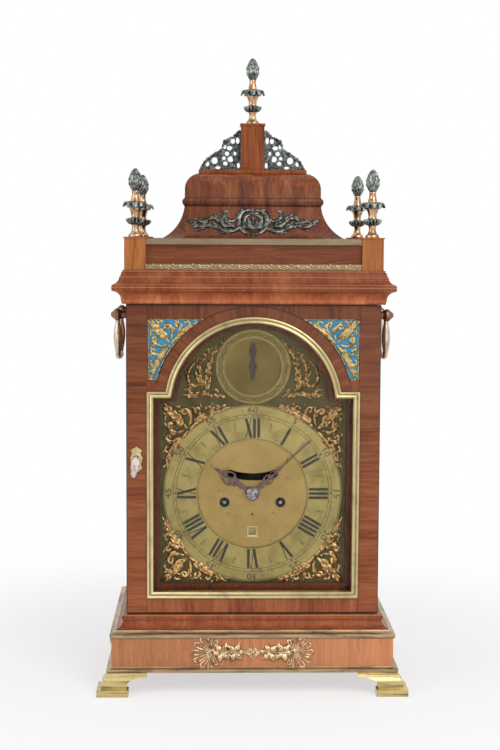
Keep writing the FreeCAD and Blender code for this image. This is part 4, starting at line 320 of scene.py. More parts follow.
def metal(name, tone, stain_and_shade, rough, scale, bump, stops=(0.3, 0.5, 0.72), highlight=1.12, squash=1.0, shade=()):
    """Metal with soft patches, fine scratches and stains; the dark patches are stain and painted shade, the bright ones
    painted highlights; squash draws the patches out level.
    """
    finish = Finish(name, metallic=1.0, roughness=rough[0])
    patch = finish.noise(finish.place(scale, scale, scale * squash), 5.0, 0.6, 0.3)
    fine = finish.noise(finish.place(scale * 14, scale * 14, scale * 5), 3.0)
    stain_and_shade = tinted(tone, stain_and_shade) if isinstance(stain_and_shade, float) else stain_and_shade
    base = finish.ramp(patch, (stops[0], stain_and_shade), (stops[2], tinted(tone, highlight)), (stops[1], tone))
    base = finish.blend(0.25, base, finish.ramp(fine, (0.3, tinted(tone, 0.6)), (0.6, tone)))
    # Painted shading along one axis, where shade is given.
    if shade:
        base = painted_shading(finish, base, *shade)
    height = finish.math("MULTIPLY_ADD", fine, 0.5, patch)
    finish.done(base, (patch, rough[1], rough[0]), (height, 0.0002, bump))


def woods(tones):
    """The veneers and the solid woods."""
    def red(*factors):
        keys = ("veneer_dark", "veneer", "veneer_light")
        return [tinted(tones[key], factor) for key, factor in zip(keys, factors)]

    def toned(key, low, high):
        return tinted(tones[key], low), tones[key], tinted(tones[key], high)

    height = CORNICE_HIGH.z - CORNICE_LOW.z
    deep = BASE_HIGH.z - BASE_LOW.z
    lines = [CORNICE_LOW.z + height * 0.445, CORNICE_LOW.z + 0.5, BASE_LOW.z + deep * 0.62, BASE_LOW.z + 0.4]
    # Heights of the painted highlights on the arrises of the cornice and base.
    arris_highlights = [CORNICE_LOW.z + height * share for share in (0.1, 0.5, 0.585, 0.8, 0.97)]
    arris_highlights += [BASE_LOW.z + deep * 0.68, BASE_LOW.z + deep * 0.95]
    bell_lines = [BELL_HIGH.z - 32.2, BELL_HIGH.z - 28.2, BELL_HIGH.z - 24.4, BELL_LOW.z + 0.4]
    # Painted light and shade on the cornice: lighter towards its lower edge, darker towards its middle.
    cornice_painted_shading = (2, CORNICE_LOW.z + 2, CORNICE_LOW.z + height * 0.5, 1.55, 0.85)
    for name, shade in (("cross_grain_moulding", ()), ("cross_grain_cornice", cornice_painted_shading)):
        veneer(name, red(2.2, 1.4, 1.2), "Z", 330.0, 30.0, lines, 0.28, arris_highlights, shade)
    # The bell's veneer carries painted shade: darker towards its lower flare.
    veneer("bell_veneer", red(1.1, 0.95, 0.95), "Z", 330.0, 24.0, bell_lines, 0.5, coat=0.2, rough=(0.12, 0.25),
           shade=(2, BELL_LOW.z, BELL_HIGH.z - 20, 0.7, 1.05))
    veneer("side_veneer", red(1.0, 1.0, 1.0), "Z", 360.0, 9.0)
    veneer("mask_wood", (*red(0.6, 0.6), tinted(tones["veneer"], 0.9)), "Z", 400.0, 20.0)
    veneer("panel_veneer", red(1.2, 0.78, 0.68), "X", 520.0, 14.0)
    veneer("post_wood", toned("post", 0.42, 1.35), "Z", 620.0, 12.0)
    veneer("block_wood", ((0.1, 0.022, 0.006), (0.25, 0.062, 0.016), (0.34, 0.1, 0.028)), "Z", 620.0, 14.0)
    # Painted light on the plinth: lighter towards its right side, where the key lamp stands.
    veneer("satin_wood", toned("plinth", 0.66, 1.25), "Z", 900.0, 22.0, figure=0.35,
           shade=(0, -110.0, 130.0, 0.82, 1.15))
    veneer("seat_wood", ((0.16, 0.09, 0.045), (0.34, 0.21, 0.11), (0.46, 0.3, 0.17)), "X", 420.0, 12.0, coat=0.0,
           rough=(0.5, 0.7))
    door_veneer(red(1.5, 1.05, 0.9))


def door_veneer(tones):
    """Cross-banded door: stiles with level grain, rails upright, and the band round the arch radial, with painted shade
    towards the top.
    """
    f = Finish("door_veneer", roughness=0.3, coat=0.05, specular=0.18)
    x, y, z = f.axes()
    rise = f.minus(z, ARCH_Z * MM)
    turn = f.math("ARCTAN2", x, rise)
    reach = f.far(x, rise)
    side = f.math("ABSOLUTE", x)
    level, upright, radial = [f.join(f.times(a, across), f.times(y, 30.0), f.times(b, up)) for a, across, b, up in
                              ((x, 30.0, z, 520.0), (x, 520.0, z, 30.0), (turn, 46.0, reach, 30.0))]
    stile_edge = (BEZEL_HALF - 0.5) * MM
    seam_middle, seam_half = 0.2215, 0.132
    in_arch = f.times(f.under(reach, (BEZEL_R + 10.5) * MM), f.over(z, (SHOULDER_Z - 1) * MM))
    vector = f.blend(in_arch, f.blend(f.over(side, stile_edge), upright, level), radial)
    tone, mixed = grain(f, vector, tones, 0.45)
    tone = f.blend(f.ramp(f.noise(16, 3.0), (0.4, 0.0), (0.75, 0.5)), tone, tinted(tones[2], 0.9))
    seam = f.times(f.near(side, stile_edge, 0.25 * MM), f.over(f.math("ABSOLUTE", f.minus(z, seam_middle)), seam_half))
    band = f.times(f.near(reach, (BEZEL_R + 9.6) * MM, 0.5 * MM), f.over(z, (SHOULDER_Z + 8) * MM))
    line = f.most(f.over(side, (DOOR_HIGH.x - 0.7) * MM), f.under(z, (DOOR_LOW.z + 0.8) * MM),
                  f.over(z, (DOOR_HIGH.z - 0.9) * MM), seam, band)
    line = f.times(line, f.under(y, (DOOR_LOW.y + 0.4) * MM))
    # Painted shade: darker towards the top of the door, under the cornice, and lighter towards its foot.
    tone = painted_shading(f, tone, 2, DOOR_HIGH.z, DOOR_LOW.z, 0.6, 1.25)
    f.done(f.blend(line, tone, (0.035, 0.014, 0.009)), (mixed, 0.2, 0.36), (mixed, 0.0001, 0.25))


def metals(tones):
    """The metals: tone, stain and painted shade (its own tone, or a share of the tone), roughness, scale, bump and the
    rest, among them the painted highlight and the painted shading.
    """
    brass, gilt, bronze = tones["brass"], tones["gilt"], tones["bronze"]
    even, sharp, deep = (0.4, 0.5, 0.6), (0.42, 0.51, 0.62), (0.4, 0.5, 0.63)
    metal("pale_brass", brass, 0.62, (0.24, 0.4), 60.0, 0.15)
    metal("foot_brass", (0.56, 0.45, 0.2), (0.22, 0.15, 0.06), (0.2, 0.36), 22.0, 0.3, (0.38, 0.47, 0.62), 1.3, 22.0)
    metal("band_brass", (0.42, 0.305, 0.18), 0.5, (0.28, 0.45), 30.0, 0.3, even, 1.25, 9.0)
    metal("rail_brass", (0.235, 0.175, 0.11), 0.7, (0.3, 0.45), 30.0, 0.15, squash=8.0)
    # The gilt castings carry painted shade: darker towards the arch, which the door's arch shades.
    metal("gilt", gilt, (0.035, 0.02, 0.009), (0.18, 0.36), 380.0, 0.9, (0.42, 0.51, 0.6), 1.45,
          shade=(2, DIAL_Z - 50, ARCH_Z + 40, 0.98, 0.55))
    metal("side_gilt", gilt, (0.15, 0.09, 0.04), (0.24, 0.4), 200.0, 0.5)
    metal("strip_gilt", (0.5, 0.35, 0.17), (0.14, 0.09, 0.04), (0.24, 0.4), 420.0, 0.8)
    metal("fret_gilt", (0.46, 0.33, 0.14), (0.12, 0.085, 0.03), (0.34, 0.5), 260.0, 0.5, (0.4, 0.5, 0.62), 1.3)
    metal("mount_gilt", (0.58, 0.43, 0.25), (0.13, 0.08, 0.045), (0.2, 0.38), 280.0, 0.6, even, 1.45)
    metal("dark_bronze", bronze, (0.02, 0.018, 0.016), (0.22, 0.45), 260.0, 0.9, sharp, 2.0)
    metal("top_fret_bronze", (0.1, 0.115, 0.105), (0.012, 0.012, 0.012), (0.25, 0.5), 420.0, 1.0, sharp, 2.0)
    metal("copper_gold", (0.5, 0.315, 0.18), (0.17, 0.085, 0.045), (0.14, 0.3), 210.0, 0.4, deep, 1.35)
    metal("leaf_bronze", (0.19, 0.21, 0.19), (0.045, 0.045, 0.04), (0.26, 0.46), 300.0, 0.8, deep, 1.8)
    metal("blued_steel", (0.15, 0.095, 0.09), 0.4, (0.22, 0.4), 300.0, 0.4)
    metal("arch_steel", (0.075, 0.055, 0.058), 0.4, (0.25, 0.45), 300.0, 0.5)
    # Painted shade: near-black brass for the parts seen through the slot of the dial, where only shade shows.
    metal("blackened_brass", (0.012, 0.011, 0.01), 0.5, (0.5, 0.7), 120.0, 0.3)
    metal("polished_steel", (0.5, 0.49, 0.47), 0.6, (0.2, 0.4), 140.0, 0.3)
    metal("worn_silver", (0.24, 0.225, 0.24), (0.05, 0.045, 0.06), (0.24, 0.42), 380.0, 1.0, (0.42, 0.5, 0.6), 1.7)
    metal("drop_silver", (0.56, 0.48, 0.43), (0.2, 0.16, 0.13), (0.2, 0.42), 320.0, 1.0, (0.4, 0.5, 0.62), 1.4)
    metal("handle_bronze", (0.24, 0.12, 0.08), (0.06, 0.07, 0.06), (0.2, 0.4), 130.0, 0.4, even, 1.4)
    metal("bail_gilt", (0.6, 0.5, 0.38), (0.26, 0.2, 0.13), (0.2, 0.38), 120.0, 0.3)
    metal("movement_brass", (0.62, 0.46, 0.2), 0.6, (0.22, 0.42), 80.0, 0.2)
    metal("bell_metal", (0.56, 0.45, 0.27), 0.6, (0.2, 0.36), 60.0, 0.2)


def two_metals(name, share, dark, light, rough):
    """Movement brass, and a second metal where share(finish, x, y, z) is 1."""
    f = Finish(name, metallic=1.0, roughness=0.32)
    patch = f.noise(90)
    brass = f.ramp(patch, (0.3, (0.4, 0.28, 0.11)), (0.7, (0.64, 0.48, 0.22)))
    other = f.ramp(patch, (0.3, dark), (0.7, light))
    f.done(f.blend(share(f, *f.axes()), brass, other), (patch, *rough), (patch, 0.0002, 0.2))


def at_winding_square(f, x, y, z):
    """1 at the end of a winding square, near either winding hole."""
    side = f.minus(f.math("ABSOLUTE", x), WINDING_X * MM)
    return f.under(f.far(side, f.minus(z, WINDING_Z * MM)), SQUARE_R * MM)


def before_plates(f, x, y, z):
    """1 in front of the movement plates, where the mock bob shows in its slot and is painted near-black as shade."""
    return f.under(y, MOCK_BOB_BACK * MM)


def ring_brass(tone):
    """Brass of the chapter ring, brushed round the dial, with engraving and painted shade in the ring of the arch."""
    f = Finish("ring_brass", metallic=1.0, roughness=0.36)
    x, _, z = f.axes()
    reach = f.far(x, f.minus(z, DIAL_Z * MM))
    brushed = f.noise(f.join(f.times(reach, 2600.0), 0.0, f.times(x, 30.0)), 3.0)
    patch = f.noise(70, 5.0, 0.6)
    base = f.ramp(patch, (0.32, tinted(tone, 0.62)), (0.7, tinted(tone, 1.2)), (0.5, tone))
    base = f.blend(0.3, base, f.ramp(brushed, (0.3, tinted(tone, 0.65)), (0.7, tone)))
    pits = f.ramp(f.noise(330, 3.0), (0.33, 1.0), (0.38, 0.0))
    base = f.blend(f.times(pits, 0.5), base, tinted(tone, 0.25))
    high = f.minus(z, ARCH_RING_Z * MM)
    ring = f.far(x, high)
    turn = f.math("ARCTAN2", x, high)
    middle = ARCH_SCROLL_R * MM
    wave, lobes, inner = [f.math("SINE", f.times(turn, count)) for count in (13.0, 39.0, 52.0)]
    curve = f.times(wave, f.math("MULTIPLY_ADD", f.math("ABSOLUTE", lobes), -0.0024, 0.0004))
    stem = f.near(ring, f.math("MULTIPLY_ADD", wave, 0.0022, middle), 0.00045)
    leafy = f.near(ring, f.math("ADD", curve, middle), 0.0004)
    veins = f.near(ring, f.math("MULTIPLY_ADD", inner, 0.0016, middle), 0.0003)
    inside = f.over(z, (ARCH_RING_Z - ARCH_RING_R - 0.5) * MM)
    cut = f.times(f.most(stem, leafy, veins), inside, f.under(ring, (ARCH_RING_R - 0.9) * MM),
                  f.over(ring, ARCH_SCROLL_LOW_R * MM))
    # Painted shade: the ring of the arch made darker, as the door's arch shades it.
    base = f.blend(f.times(inside, 0.7), base, tinted(tone, 0.5))
    f.done(f.blend(f.times(cut, 0.85), base, (0.035, 0.026, 0.014)), (patch, 0.46, 0.3),
           (f.minus(brushed, cut), 0.00012, 0.4))


def dial_brass(tone):
    """Dial plate: matted and gilded inside the chapter ring, dark and plain outside it."""
    f = Finish("dial_plate_brass", metallic=1.0, roughness=0.45)
    x, _, z = f.axes()
    centre = f.under(f.far(x, f.minus(z, DIAL_Z * MM)), MATTED_R * MM)
    disc = f.under(f.far(x, f.minus(z, ARCH_RING_Z * MM)), ARCH_DISC_R * MM)
    grit = f.noise(1500, 2.0)
    patch = f.noise(45)
    matted = f.ramp(grit, (0.35, tinted(tone, 0.55)), (0.65, tinted(tone, 1.2)))
    matted = f.blend(f.ramp(patch, (0.35, 0.0), (0.7, 0.5)), matted, tinted(tone, 0.6))
    plain = f.ramp(patch, (0.3, (0.05, 0.043, 0.02)), (0.7, (0.12, 0.1, 0.045)))
    olive = f.ramp(patch, (0.3, (0.11, 0.08, 0.028)), (0.7, (0.2, 0.145, 0.052)))
    base = f.blend(centre, f.blend(disc, plain, olive), matted)
    pits = f.ramp(f.noise(230, 2.0), (0.3, 1.0), (0.345, 0.0))
    base = f.blend(f.times(pits, 0.6), base, (0.09, 0.055, 0.022))
    height = f.times(grit, f.math("MULTIPLY_ADD", centre, 0.8, 0.2))
    f.done(base, (patch, 0.4, 0.55), (height, 0.0002, 0.7))


def black_wax():
    """Wax in the engraving and the numerals, slightly speckled."""
    f = Finish("black_wax", roughness=0.5)
    speckle = f.noise(900, 3.0)
    f.done(f.ramp(speckle, (0.3, (0.008, 0.008, 0.007)), (0.75, (0.035, 0.031, 0.024))), (speckle, 0.4, 0.65))


def blue_silk(tone):
    """Blue silk with a fine weave."""
    f = Finish("blue_silk", roughness=0.75)
    f.inputs["Sheen Weight"].default_value = 0.25
    x, y, z = f.axes()
    warp, weft = [f.math("SINE", f.times(run, 9000.0)) for run in (f.math("ADD", x, y), z)]
    weave = f.math("MULTIPLY_ADD", f.times(warp, weft), 0.5, 0.5)
    patch = f.ramp(f.noise(60, 3.0), (0.4, 0.0), (0.7, 0.4))
    base = f.blend(weave, tinted(tone, 0.8), tinted(tone, 1.15))
    f.done(f.blend(patch, base, tinted(tone, 0.7)), bump=(weave, 0.0001, 0.5))


def clear_glass():
    """Clear old glass, very slightly rippled."""
    f = Finish("clear_glass", roughness=0.03, specular=0.2)
    for socket, value in (("Alpha", 0.06), ("IOR", 1.45), ("Transmission Weight", 1.0)):
        f.inputs[socket].default_value = value
    ripple = f.noise(22, 2.0)
    f.done(f.ramp(ripple, (0.3, (0.9, 0.95, 0.94)), (0.7, (0.95, 0.98, 0.97))), bump=(ripple, 0.0002, 0.2))


def finish_named(name):
    """A finish by its name; the first call makes them all."""
    if not MATERIALS:
        settings = bpy.context.scene.clock_finishes
        tones = {key: tuple(getattr(settings, key)) for key in ClockFinishes.__annotations__}
        woods(tones)
        metals(tones)
        two_metals("fusee_metal", at_winding_square, (0.14, 0.14, 0.16), (0.3, 0.3, 0.32), (0.24, 0.42))
        # The pendulum in front of the plates is near-black: painted shade, as the slot shows only shade.
        two_metals("pendulum_metal", before_plates, (0.006, 0.006, 0.006), (0.018, 0.017, 0.016), (0.3, 0.6))
        ring_brass(tones["ring"])
        dial_brass(tones["matting"])
        black_wax()
        blue_silk(tones["cloth"])
        clear_glass()
    return MATERIALS[name]


def dress(name, *nodes):
    """Gives carried-over nodes a finish."""
    for node in nodes:
        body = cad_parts[node]
        if not body.material_slots:
            body.data.materials.append(None)
        for slot in body.material_slots:
            slot.material = finish_named(name)


# ---------------------------------------------------------------- modelling helpers
MIRROR_X = Matrix.Diagonal((-1, 1, 1, 1))


def settle():
    """Nothing selected and object mode, before the next operator."""
    if bpy.context.object and bpy.context.object.mode != "OBJECT":
        bpy.ops.object.mode_set(mode="OBJECT")
    bpy.ops.object.select_all(action="DESELECT")


def pick(piece):
    """The piece selected and active, alone."""
    settle()
    piece.select_set(True)
    bpy.context.view_layer.objects.active = piece


def finished(piece, name, key, body, smooth=None):
    """Names a piece, gives it its finish and hangs it on its body."""
    piece.name = name
    piece.data.name = name
    piece.data.materials.clear()
    piece.data.materials.append(finish_named(key))
    if smooth is not None:
        pick(piece)
        bpy.ops.object.shade_smooth_by_angle(angle=math.radians(smooth))
    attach(piece, body)
    return piece


def mended(piece, doubles=None):
    """Merges vertices closer than a distance, if one is given, and turns the faces outward."""
    pick(piece)
    bpy.ops.object.mode_set(mode="EDIT")
    bpy.ops.mesh.select_all(action="SELECT")
    if doubles:
        bpy.ops.mesh.remove_doubles(threshold=doubles)
    bpy.ops.mesh.normals_make_consistent(inside=False)
    bpy.ops.object.mode_set(mode="OBJECT")
    return piece


def laid(piece, place):
    """Moves each vertex to place(x, y, z), which is in millimetres."""
    for vertex in piece.data.vertices:
        vertex.co = Vector(place(*vertex.co)) * MM
    return piece


def wrapped(columns, rows, place):
    """A grid primitive laid over a surface; place takes shares 0 to 1."""
    settle()
    bpy.ops.mesh.primitive_grid_add(x_subdivisions=columns, y_subdivisions=rows, size=2.0)
    piece = laid(bpy.context.object, lambda x, y, z: place((x + 1) / 2, (y + 1) / 2))
    return mended(piece, 0.00001)


def swept(columns, profile, place):
    """A closed sweep of a profile; place takes the share round and one row of the profile."""
    rows = len(profile) - 1
    return wrapped(columns, rows, lambda u, v: place(u, *profile[round(v * rows)]))


def dial_turning(cx, cz, sides, profile):
    """A turning that faces the front, from (radius, depth) rows."""
    def place(u, radius, depth):
        angle = 2 * math.pi * u
        return cx + radius * math.sin(angle), depth, cz + radius * math.cos(angle)

    return swept(sides, profile, place)


def copied(piece, matrix):
    """A copy with its own mesh, moved by a matrix; a mirror is turned right way round."""
    other = piece.copy()
    other.data = piece.data.copy()
    bpy.context.collection.objects.link(other)
    other.data.transform(matrix)
    if matrix.determinant() < 0:
        other.data.flip_normals()
    return other


def merged(pieces):
    """Pieces joined into the first of them."""
    settle()
    for piece in pieces:
        piece.select_set(True)
    bpy.context.view_layer.objects.active = pieces[0]
    if len(pieces) > 1:
        bpy.ops.object.join()
    return pieces[0]


def to_mesh(curve_object):
    """The mesh that a curve or a word stands for."""
    pick(curve_object)
    bpy.ops.object.convert(target="MESH")
    return bpy.context.object


def curve_of(kind, runs, **settings):
    """A curve object with a spline for each run of points."""
    settle()
    bpy.ops.curve.primitive_nurbs_path_add()
    piece = bpy.context.object
    piece.data.splines.clear()
    for name, value in settings.items():
        setattr(piece.data, name, value)
    for run in runs:
        spline = piece.data.splines.new(kind)
        spline.points.add(len(run) - 1)
        for point, (across, up) in zip(spline.points, run):
            point.co = (across, up, 0.0, 1.0)
    return piece


def cast(strokes, place, sides=2, steps=5):
    """Cast ornament: round strokes ((x, z), ...) with radii, laid on a surface by place(x, z, lift)."""
    piece = curve_of("NURBS", [points for points, radii in strokes], bevel_depth=1.0, bevel_resolution=sides,
                     use_fill_caps=True, resolution_u=steps)
    for spline, (points, radii) in zip(piece.data.splines, strokes):
        for index, point in enumerate(spline.points):
            share = index / (len(points) - 1) * (len(radii) - 1)
            low = min(int(share), len(radii) - 2)
            point.radius = radii[low] + (radii[low + 1] - radii[low]) * (share - low)
        spline.order_u = min(4, len(points))
        spline.use_endpoint_u = True
    piece = mended(laid(to_mesh(piece), place))
    bpy.ops.object.shade_smooth()
    return piece


def pierced(loops, thick, bevel, place):
    """Flat plate with holes: the first loop is the edge and the others are cut out of it."""
    piece = curve_of("POLY", loops, dimensions="2D", fill_mode="BOTH", extrude=thick / 2 - bevel,
                     bevel_depth=bevel, bevel_resolution=1, offset=-bevel)
    for spline in piece.data.splines:
        spline.use_cyclic_u = True
    return mended(laid(to_mesh(piece), place), 0.000002)


def facing(y, share=1.0):
    """Placer for work on an upright front face at depth y; share flattens its relief."""
    return lambda across, up, lift: (across, y - lift * share, up)


def curl(cx, cz, first, last, start, end, count):
    """Points round a centre while the radius changes; angles in degrees clockwise from the top."""
    points = []
    for index in range(count + 1):
        angle = math.radians(start + (end - start) * index / count)
        radius = first + (last - first) * index / count
        points.append((cx + radius * math.sin(angle), cz + radius * math.cos(angle)))
    return points


def moved(points, x, z, side=1):
    """Points moved by x and z; side -1 mirrors them first."""
    return [(x + side * across, z + up) for across, up in points]


def mirrored(side):
    """Closed outline from its right half, listed from the tip down."""
    return side + [(-x, z) for x, z in reversed(side) if x > 0.01]


def leaf(x, z, size, lean, bend=0.0, width=0.17):
    """A leaf-shaped stroke from its root, leaning clockwise from upright."""
    points = []
    for share in (0.0, 0.3, 0.6, 0.85, 1.0):
        angle = math.radians(lean + bend * share)
        points.append((x + size * share * math.sin(angle), z + size * share * math.cos(angle)))
    return points, (size * 0.06, size * width, size * width, size * 0.12, size * 0.02)


def sprig(points, radii, leaves, size, spread=55.0, start=0.12, width=0.23):
    """A stem with leaves on both sides that lean along it."""
    strokes = [(points, radii)]
    runs = [math.dist(points[index], points[index + 1]) for index in range(len(points) - 1)]
    for count in range(leaves):
        left = (start + (0.98 - start) * (count + 0.5) / leaves) * sum(runs)
        at = 0
        while at < len(runs) - 1 and left > runs[at]:
            left -= runs[at]
            at += 1
        (x0, z0), (x1, z1) = points[at], points[at + 1]
        share = min(1.0, left / runs[at])
        side = 1 if count % 2 else -1
        along = math.degrees(math.atan2(x1 - x0, z1 - z0))
        grow = size * (1.0 - 0.45 * count / leaves)
        strokes.append(leaf(x0 + (x1 - x0) * share, z0 + (z1 - z0) * share, grow, along + side * spread,
                            -side * spread * 0.8, width))
    return strokes


def flat_marks(quads, y, thick):
    """Thin wax shapes on a front face, each an outline in x and z."""
    settle()
    bpy.ops.mesh.primitive_plane_add(size=1.0)
    piece = bpy.context.object
    points = []
    faces = []
    for quad in quads:
        at = len(points)
        for depth in (y - thick, y):
            points.extend([(px * MM, depth * MM, pz * MM) for px, pz in quad])
        count = len(quad)
        faces.append([at + index for index in range(count)])
        faces.append([at + count + index for index in reversed(range(count))])
        for index in range(count):
            after = (index + 1) % count
            faces.append([at + index, at + count + index, at + count + after, at + after])
    piece.data.clear_geometry()
    piece.data.from_pydata(points, [], faces)
    return mended(piece)


class ClockOperator(bpy.types.Operator):
    """Base of the clock's operators."""
    bl_options = {"REGISTER", "UNDO"}


# ---------------------------------------------------------------- stage
def showing(tree):
    """1 for the rays that show the background itself: seen directly, in a reflection or through glass."""
    return tree.most(*[tree.node("ShaderNodeLightPath", out="Is %s Ray" % kind)
                       for kind in ("Camera", "Glossy", "Transmission")])


class CLOCK_OT_stage(ClockOperator):
    """Pale floor, soft lamps and the camera"""
    bl_idname = "clock.stage"
    bl_label = "Studio"

    def execute(self, context):
        studio = context.scene.clock_studio
        settle()
        bpy.ops.mesh.primitive_plane_add(size=30.0, location=(0, 6, 0))
        floor = bpy.context.object
        bpy.ops.object.transform_apply(location=True, rotation=True, scale=True)
        floor.name = "floor"
        floor.data.materials.append(self.floor_finish())

        world = bpy.data.worlds.new("room")
        context.scene.world = world
        tree = Tree(world)
        back = tree.nodes["Background"]
        tree.put(back.inputs[0], (1.0, 1.0, 1.0))
        tree.put(back.inputs[1], tree.node("ShaderNodeMapRange", Value=showing(tree), To_Min=studio.room, To_Max=1.0))

        for name, power, size, place in (("key", studio.key_power, 0.9, (0.75, -1.25, 1.35)),
                                         ("fill", studio.fill_power, 1.0, (-1.3, -0.9, 0.8)),
                                         ("low", studio.low_power, 0.8, (0.35, -1.5, 0.1))):
            bpy.ops.object.light_add(type="AREA", location=place)
            lamp = bpy.context.object
            lamp.name = name
            lamp.data.energy = power
            lamp.data.size = size
            aim = Vector((0, 0, 0.3)) - Vector(place)
            lamp.rotation_euler = aim.to_track_quat("-Z", "Y").to_euler()

        bpy.ops.object.camera_add(location=(-0.0393, -1.492, 0.433))
        camera = bpy.context.object
        camera.name = "camera"
        camera.data.lens = studio.lens
        camera.data.sensor_width = 36.0
        camera.data.dof.use_dof = False
        pan, tilt, roll = [Matrix.Rotation(math.radians(angle), 4, axis)
                           for angle, axis in ((-1.46, "Z"), (84.72, "X"), (0.28, "Z"))]
        camera.rotation_euler = (pan @ tilt @ roll).to_euler()
        context.scene.camera = camera
        context.scene.view_settings.view_transform = "Standard"
        return {"FINISHED"}

    def floor_finish(self):
        """Pale and matt, with the shadow kept near the clock and the plain background farther off."""
        material = bpy.data.materials.new("pale_floor")
        tree = Tree(material)
        tree.nodes.clear()
        away = tree.node("ShaderNodeVectorMath", out="Value", operation="LENGTH",
                         in0=tree.node("ShaderNodeTexCoord", out="Object"))
        fade = tree.node("ShaderNodeMapRange", interpolation_type="SMOOTHSTEP", Value=away, From_Min=0.18,
                         From_Max=0.62, To_Min=0.6, To_Max=1.0)
        mix = tree.node("ShaderNodeMixShader", in0=tree.times(showing(tree), fade),
                        in1=tree.node("ShaderNodeBsdfDiffuse", Color=(0.93, 0.92, 0.95)),
                        in2=tree.node("ShaderNodeEmission", Strength=1.0))
        tree.put(tree.nodes.new("ShaderNodeOutputMaterial").inputs[0], mix)
        return material


# ---------------------------------------------------------------- woodwork and plain brass
class CLOCK_OT_case(ClockOperator):
    """Veneers of the case, the top and the plinth"""
    bl_idname = "clock.case"
    bl_label = "Case"

    def execute(self, context):
        dress("satin_wood", "plinth")
        dress("cross_grain_moulding", "base_moulding")
        dress("cross_grain_cornice", "cornice")
        dress("side_veneer", "case_side_right", "case_side_left", "back_door_frame")
        dress("mask_wood", "dial_mask")
        dress("post_wood", "corner_posts")
        dress("panel_veneer", "gallery_panels")
        dress("bell_veneer", "bell_top")
        dress("block_wood", "top_pedestal")
        dress("seat_wood", "seat_board")
        dress("blue_silk", "side_cloth")
        dress("side_gilt", "side_frets")
        return {"FINISHED"}


class CLOCK_OT_brasswork(ClockOperator):
    """Finish of the feet, bands, rails, hinge pins and handles"""
    bl_idname = "clock.brasswork"
    bl_label = "Brasswork"

    def execute(self, context):
        dress("foot_brass", "feet")
        dress("band_brass", "base_bands")
        dress("rail_brass", "gallery_brass")
        dress("polished_steel", "door_pivots")
        dress("handle_bronze", "handle_plates")
        dress("bail_gilt", "handle_right", "handle_left")
        dress("movement_brass", "door_lock")
        strokes = [([(limb * BAIL_HALF, up) for up in (349, 344, 337, 330, 322, 319)], (2.2, 3.4, 4.4, 4.1, 2.9, 2.2))
                   for limb in (-1, 1)]
        strokes.append(([(-9, 315), (-4, 315), (4, 315), (9, 315)], (2.4, 3.3, 3.3, 2.4)))
        for node, middle in (("handle_right", BAIL_X), ("handle_left", -BAIL_X)):
            swell = cast(strokes, lambda y, z, lift, middle=middle: (middle + lift, y, z))
            finished(swell, node + "_swell", "bail_gilt", node)
        return {"FINISHED"}


class CLOCK_OT_escutcheon(ClockOperator):
    """Scalloped keyhole plate and its swinging drop"""
    bl_idname = "clock.escutcheon"
    bl_label = "Escutcheon"

    def execute(self, context):
        low, high = span("escutcheon")
        x, z = (low.x + high.x) / 2, (low.z + high.z) / 2
        thick = 1.2
        front = DOOR_LOW.y - thick
        half = [(0, 12.6), (1.6, 11.2), (3.6, 10.2), (5.3, 8.4), (4.4, 7.0), (4.3, 5.2), (5.0, 3.2), (6.2, 1.4),
                (5.2, 0.2), (5.6, -1.6), (4.6, -3.0), (4.3, -5.0), (4.9, -6.8), (6.0, -8.4), (4.2, -9.2),
                (2.6, -11.2), (0, -12.4)]
        plate = pierced([moved(mirrored(half), x, z)], thick, 0.35, facing((DOOR_LOW.y * 2 - thick) / 2))
        finished(plate, "keyhole_plate", "pale_brass", "front_door", 35)
        relief = []
        for side in (-1, 1):
            for run, radii in ((((0.3, 10.8), (2.6, 9.4), (3.6, 7.6), (3.0, 5.6)), (0.4, 0.7, 0.7, 0.4)),
                               (((3.2, 4.6), (4.2, 2.0), (4.3, -0.6), (3.5, -3.2)), (0.4, 0.6, 0.6, 0.4)),
                               (((3.2, -4.4), (4.2, -7.4), (2.4, -9.6), (0.4, -10.8)), (0.4, 0.6, 0.6, 0.3))):
                relief.append((moved(run, x, z, side), radii))
        border = cast(relief, lambda a, b, lift: (a, front - max(lift, 0.0) * 0.6, b), 1, 4)
        finished(border, "keyhole_border", "pale_brass", "front_door")
        # A painted shadow: a black arc in the gap above the drop's head.
        arch = moved(((-2.7, 1.4), (-1.9, 3.2), (0, 4.1), (1.9, 3.2), (2.7, 1.4)), x, z)
        drop_shadow = cast([(arch, (0.35, 0.5, 0.35))], lambda a, b, lift: (a, front - max(lift, 0.0) * 0.3, b), 1, 4)
        finished(drop_shadow, "keyhole_slit", "black_wax", "front_door")
        for piece in (plate, border, drop_shadow):
            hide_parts("escutcheon")
        dress("pale_brass", "escutcheon")
        low, high = span("keyhole_cover")
        outline = mirrored([(0, 0.7), (1.5, 0.2), (2.3, -1.2), (3.4, -3.6), (4.1, -6.6), (4.0, -10.0), (3.3, -14.0),
                            (2.7, -17.4), (1.5, -19.8), (0, -20.5)])
        sine, cosine = math.sin(math.radians(9.0)), math.cos(math.radians(9.0))
        turned = [(a * cosine + b * sine, b * cosine - a * sine) for a, b in outline]
        drop = pierced([moved(turned, x, z + 2.6)], high.y - low.y, 0.4, facing((low.y + high.y) / 2))
        finished(drop, "keyhole_drop", "drop_silver", "keyhole_cover", 35)
        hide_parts("keyhole_cover")
        return {"FINISHED"}


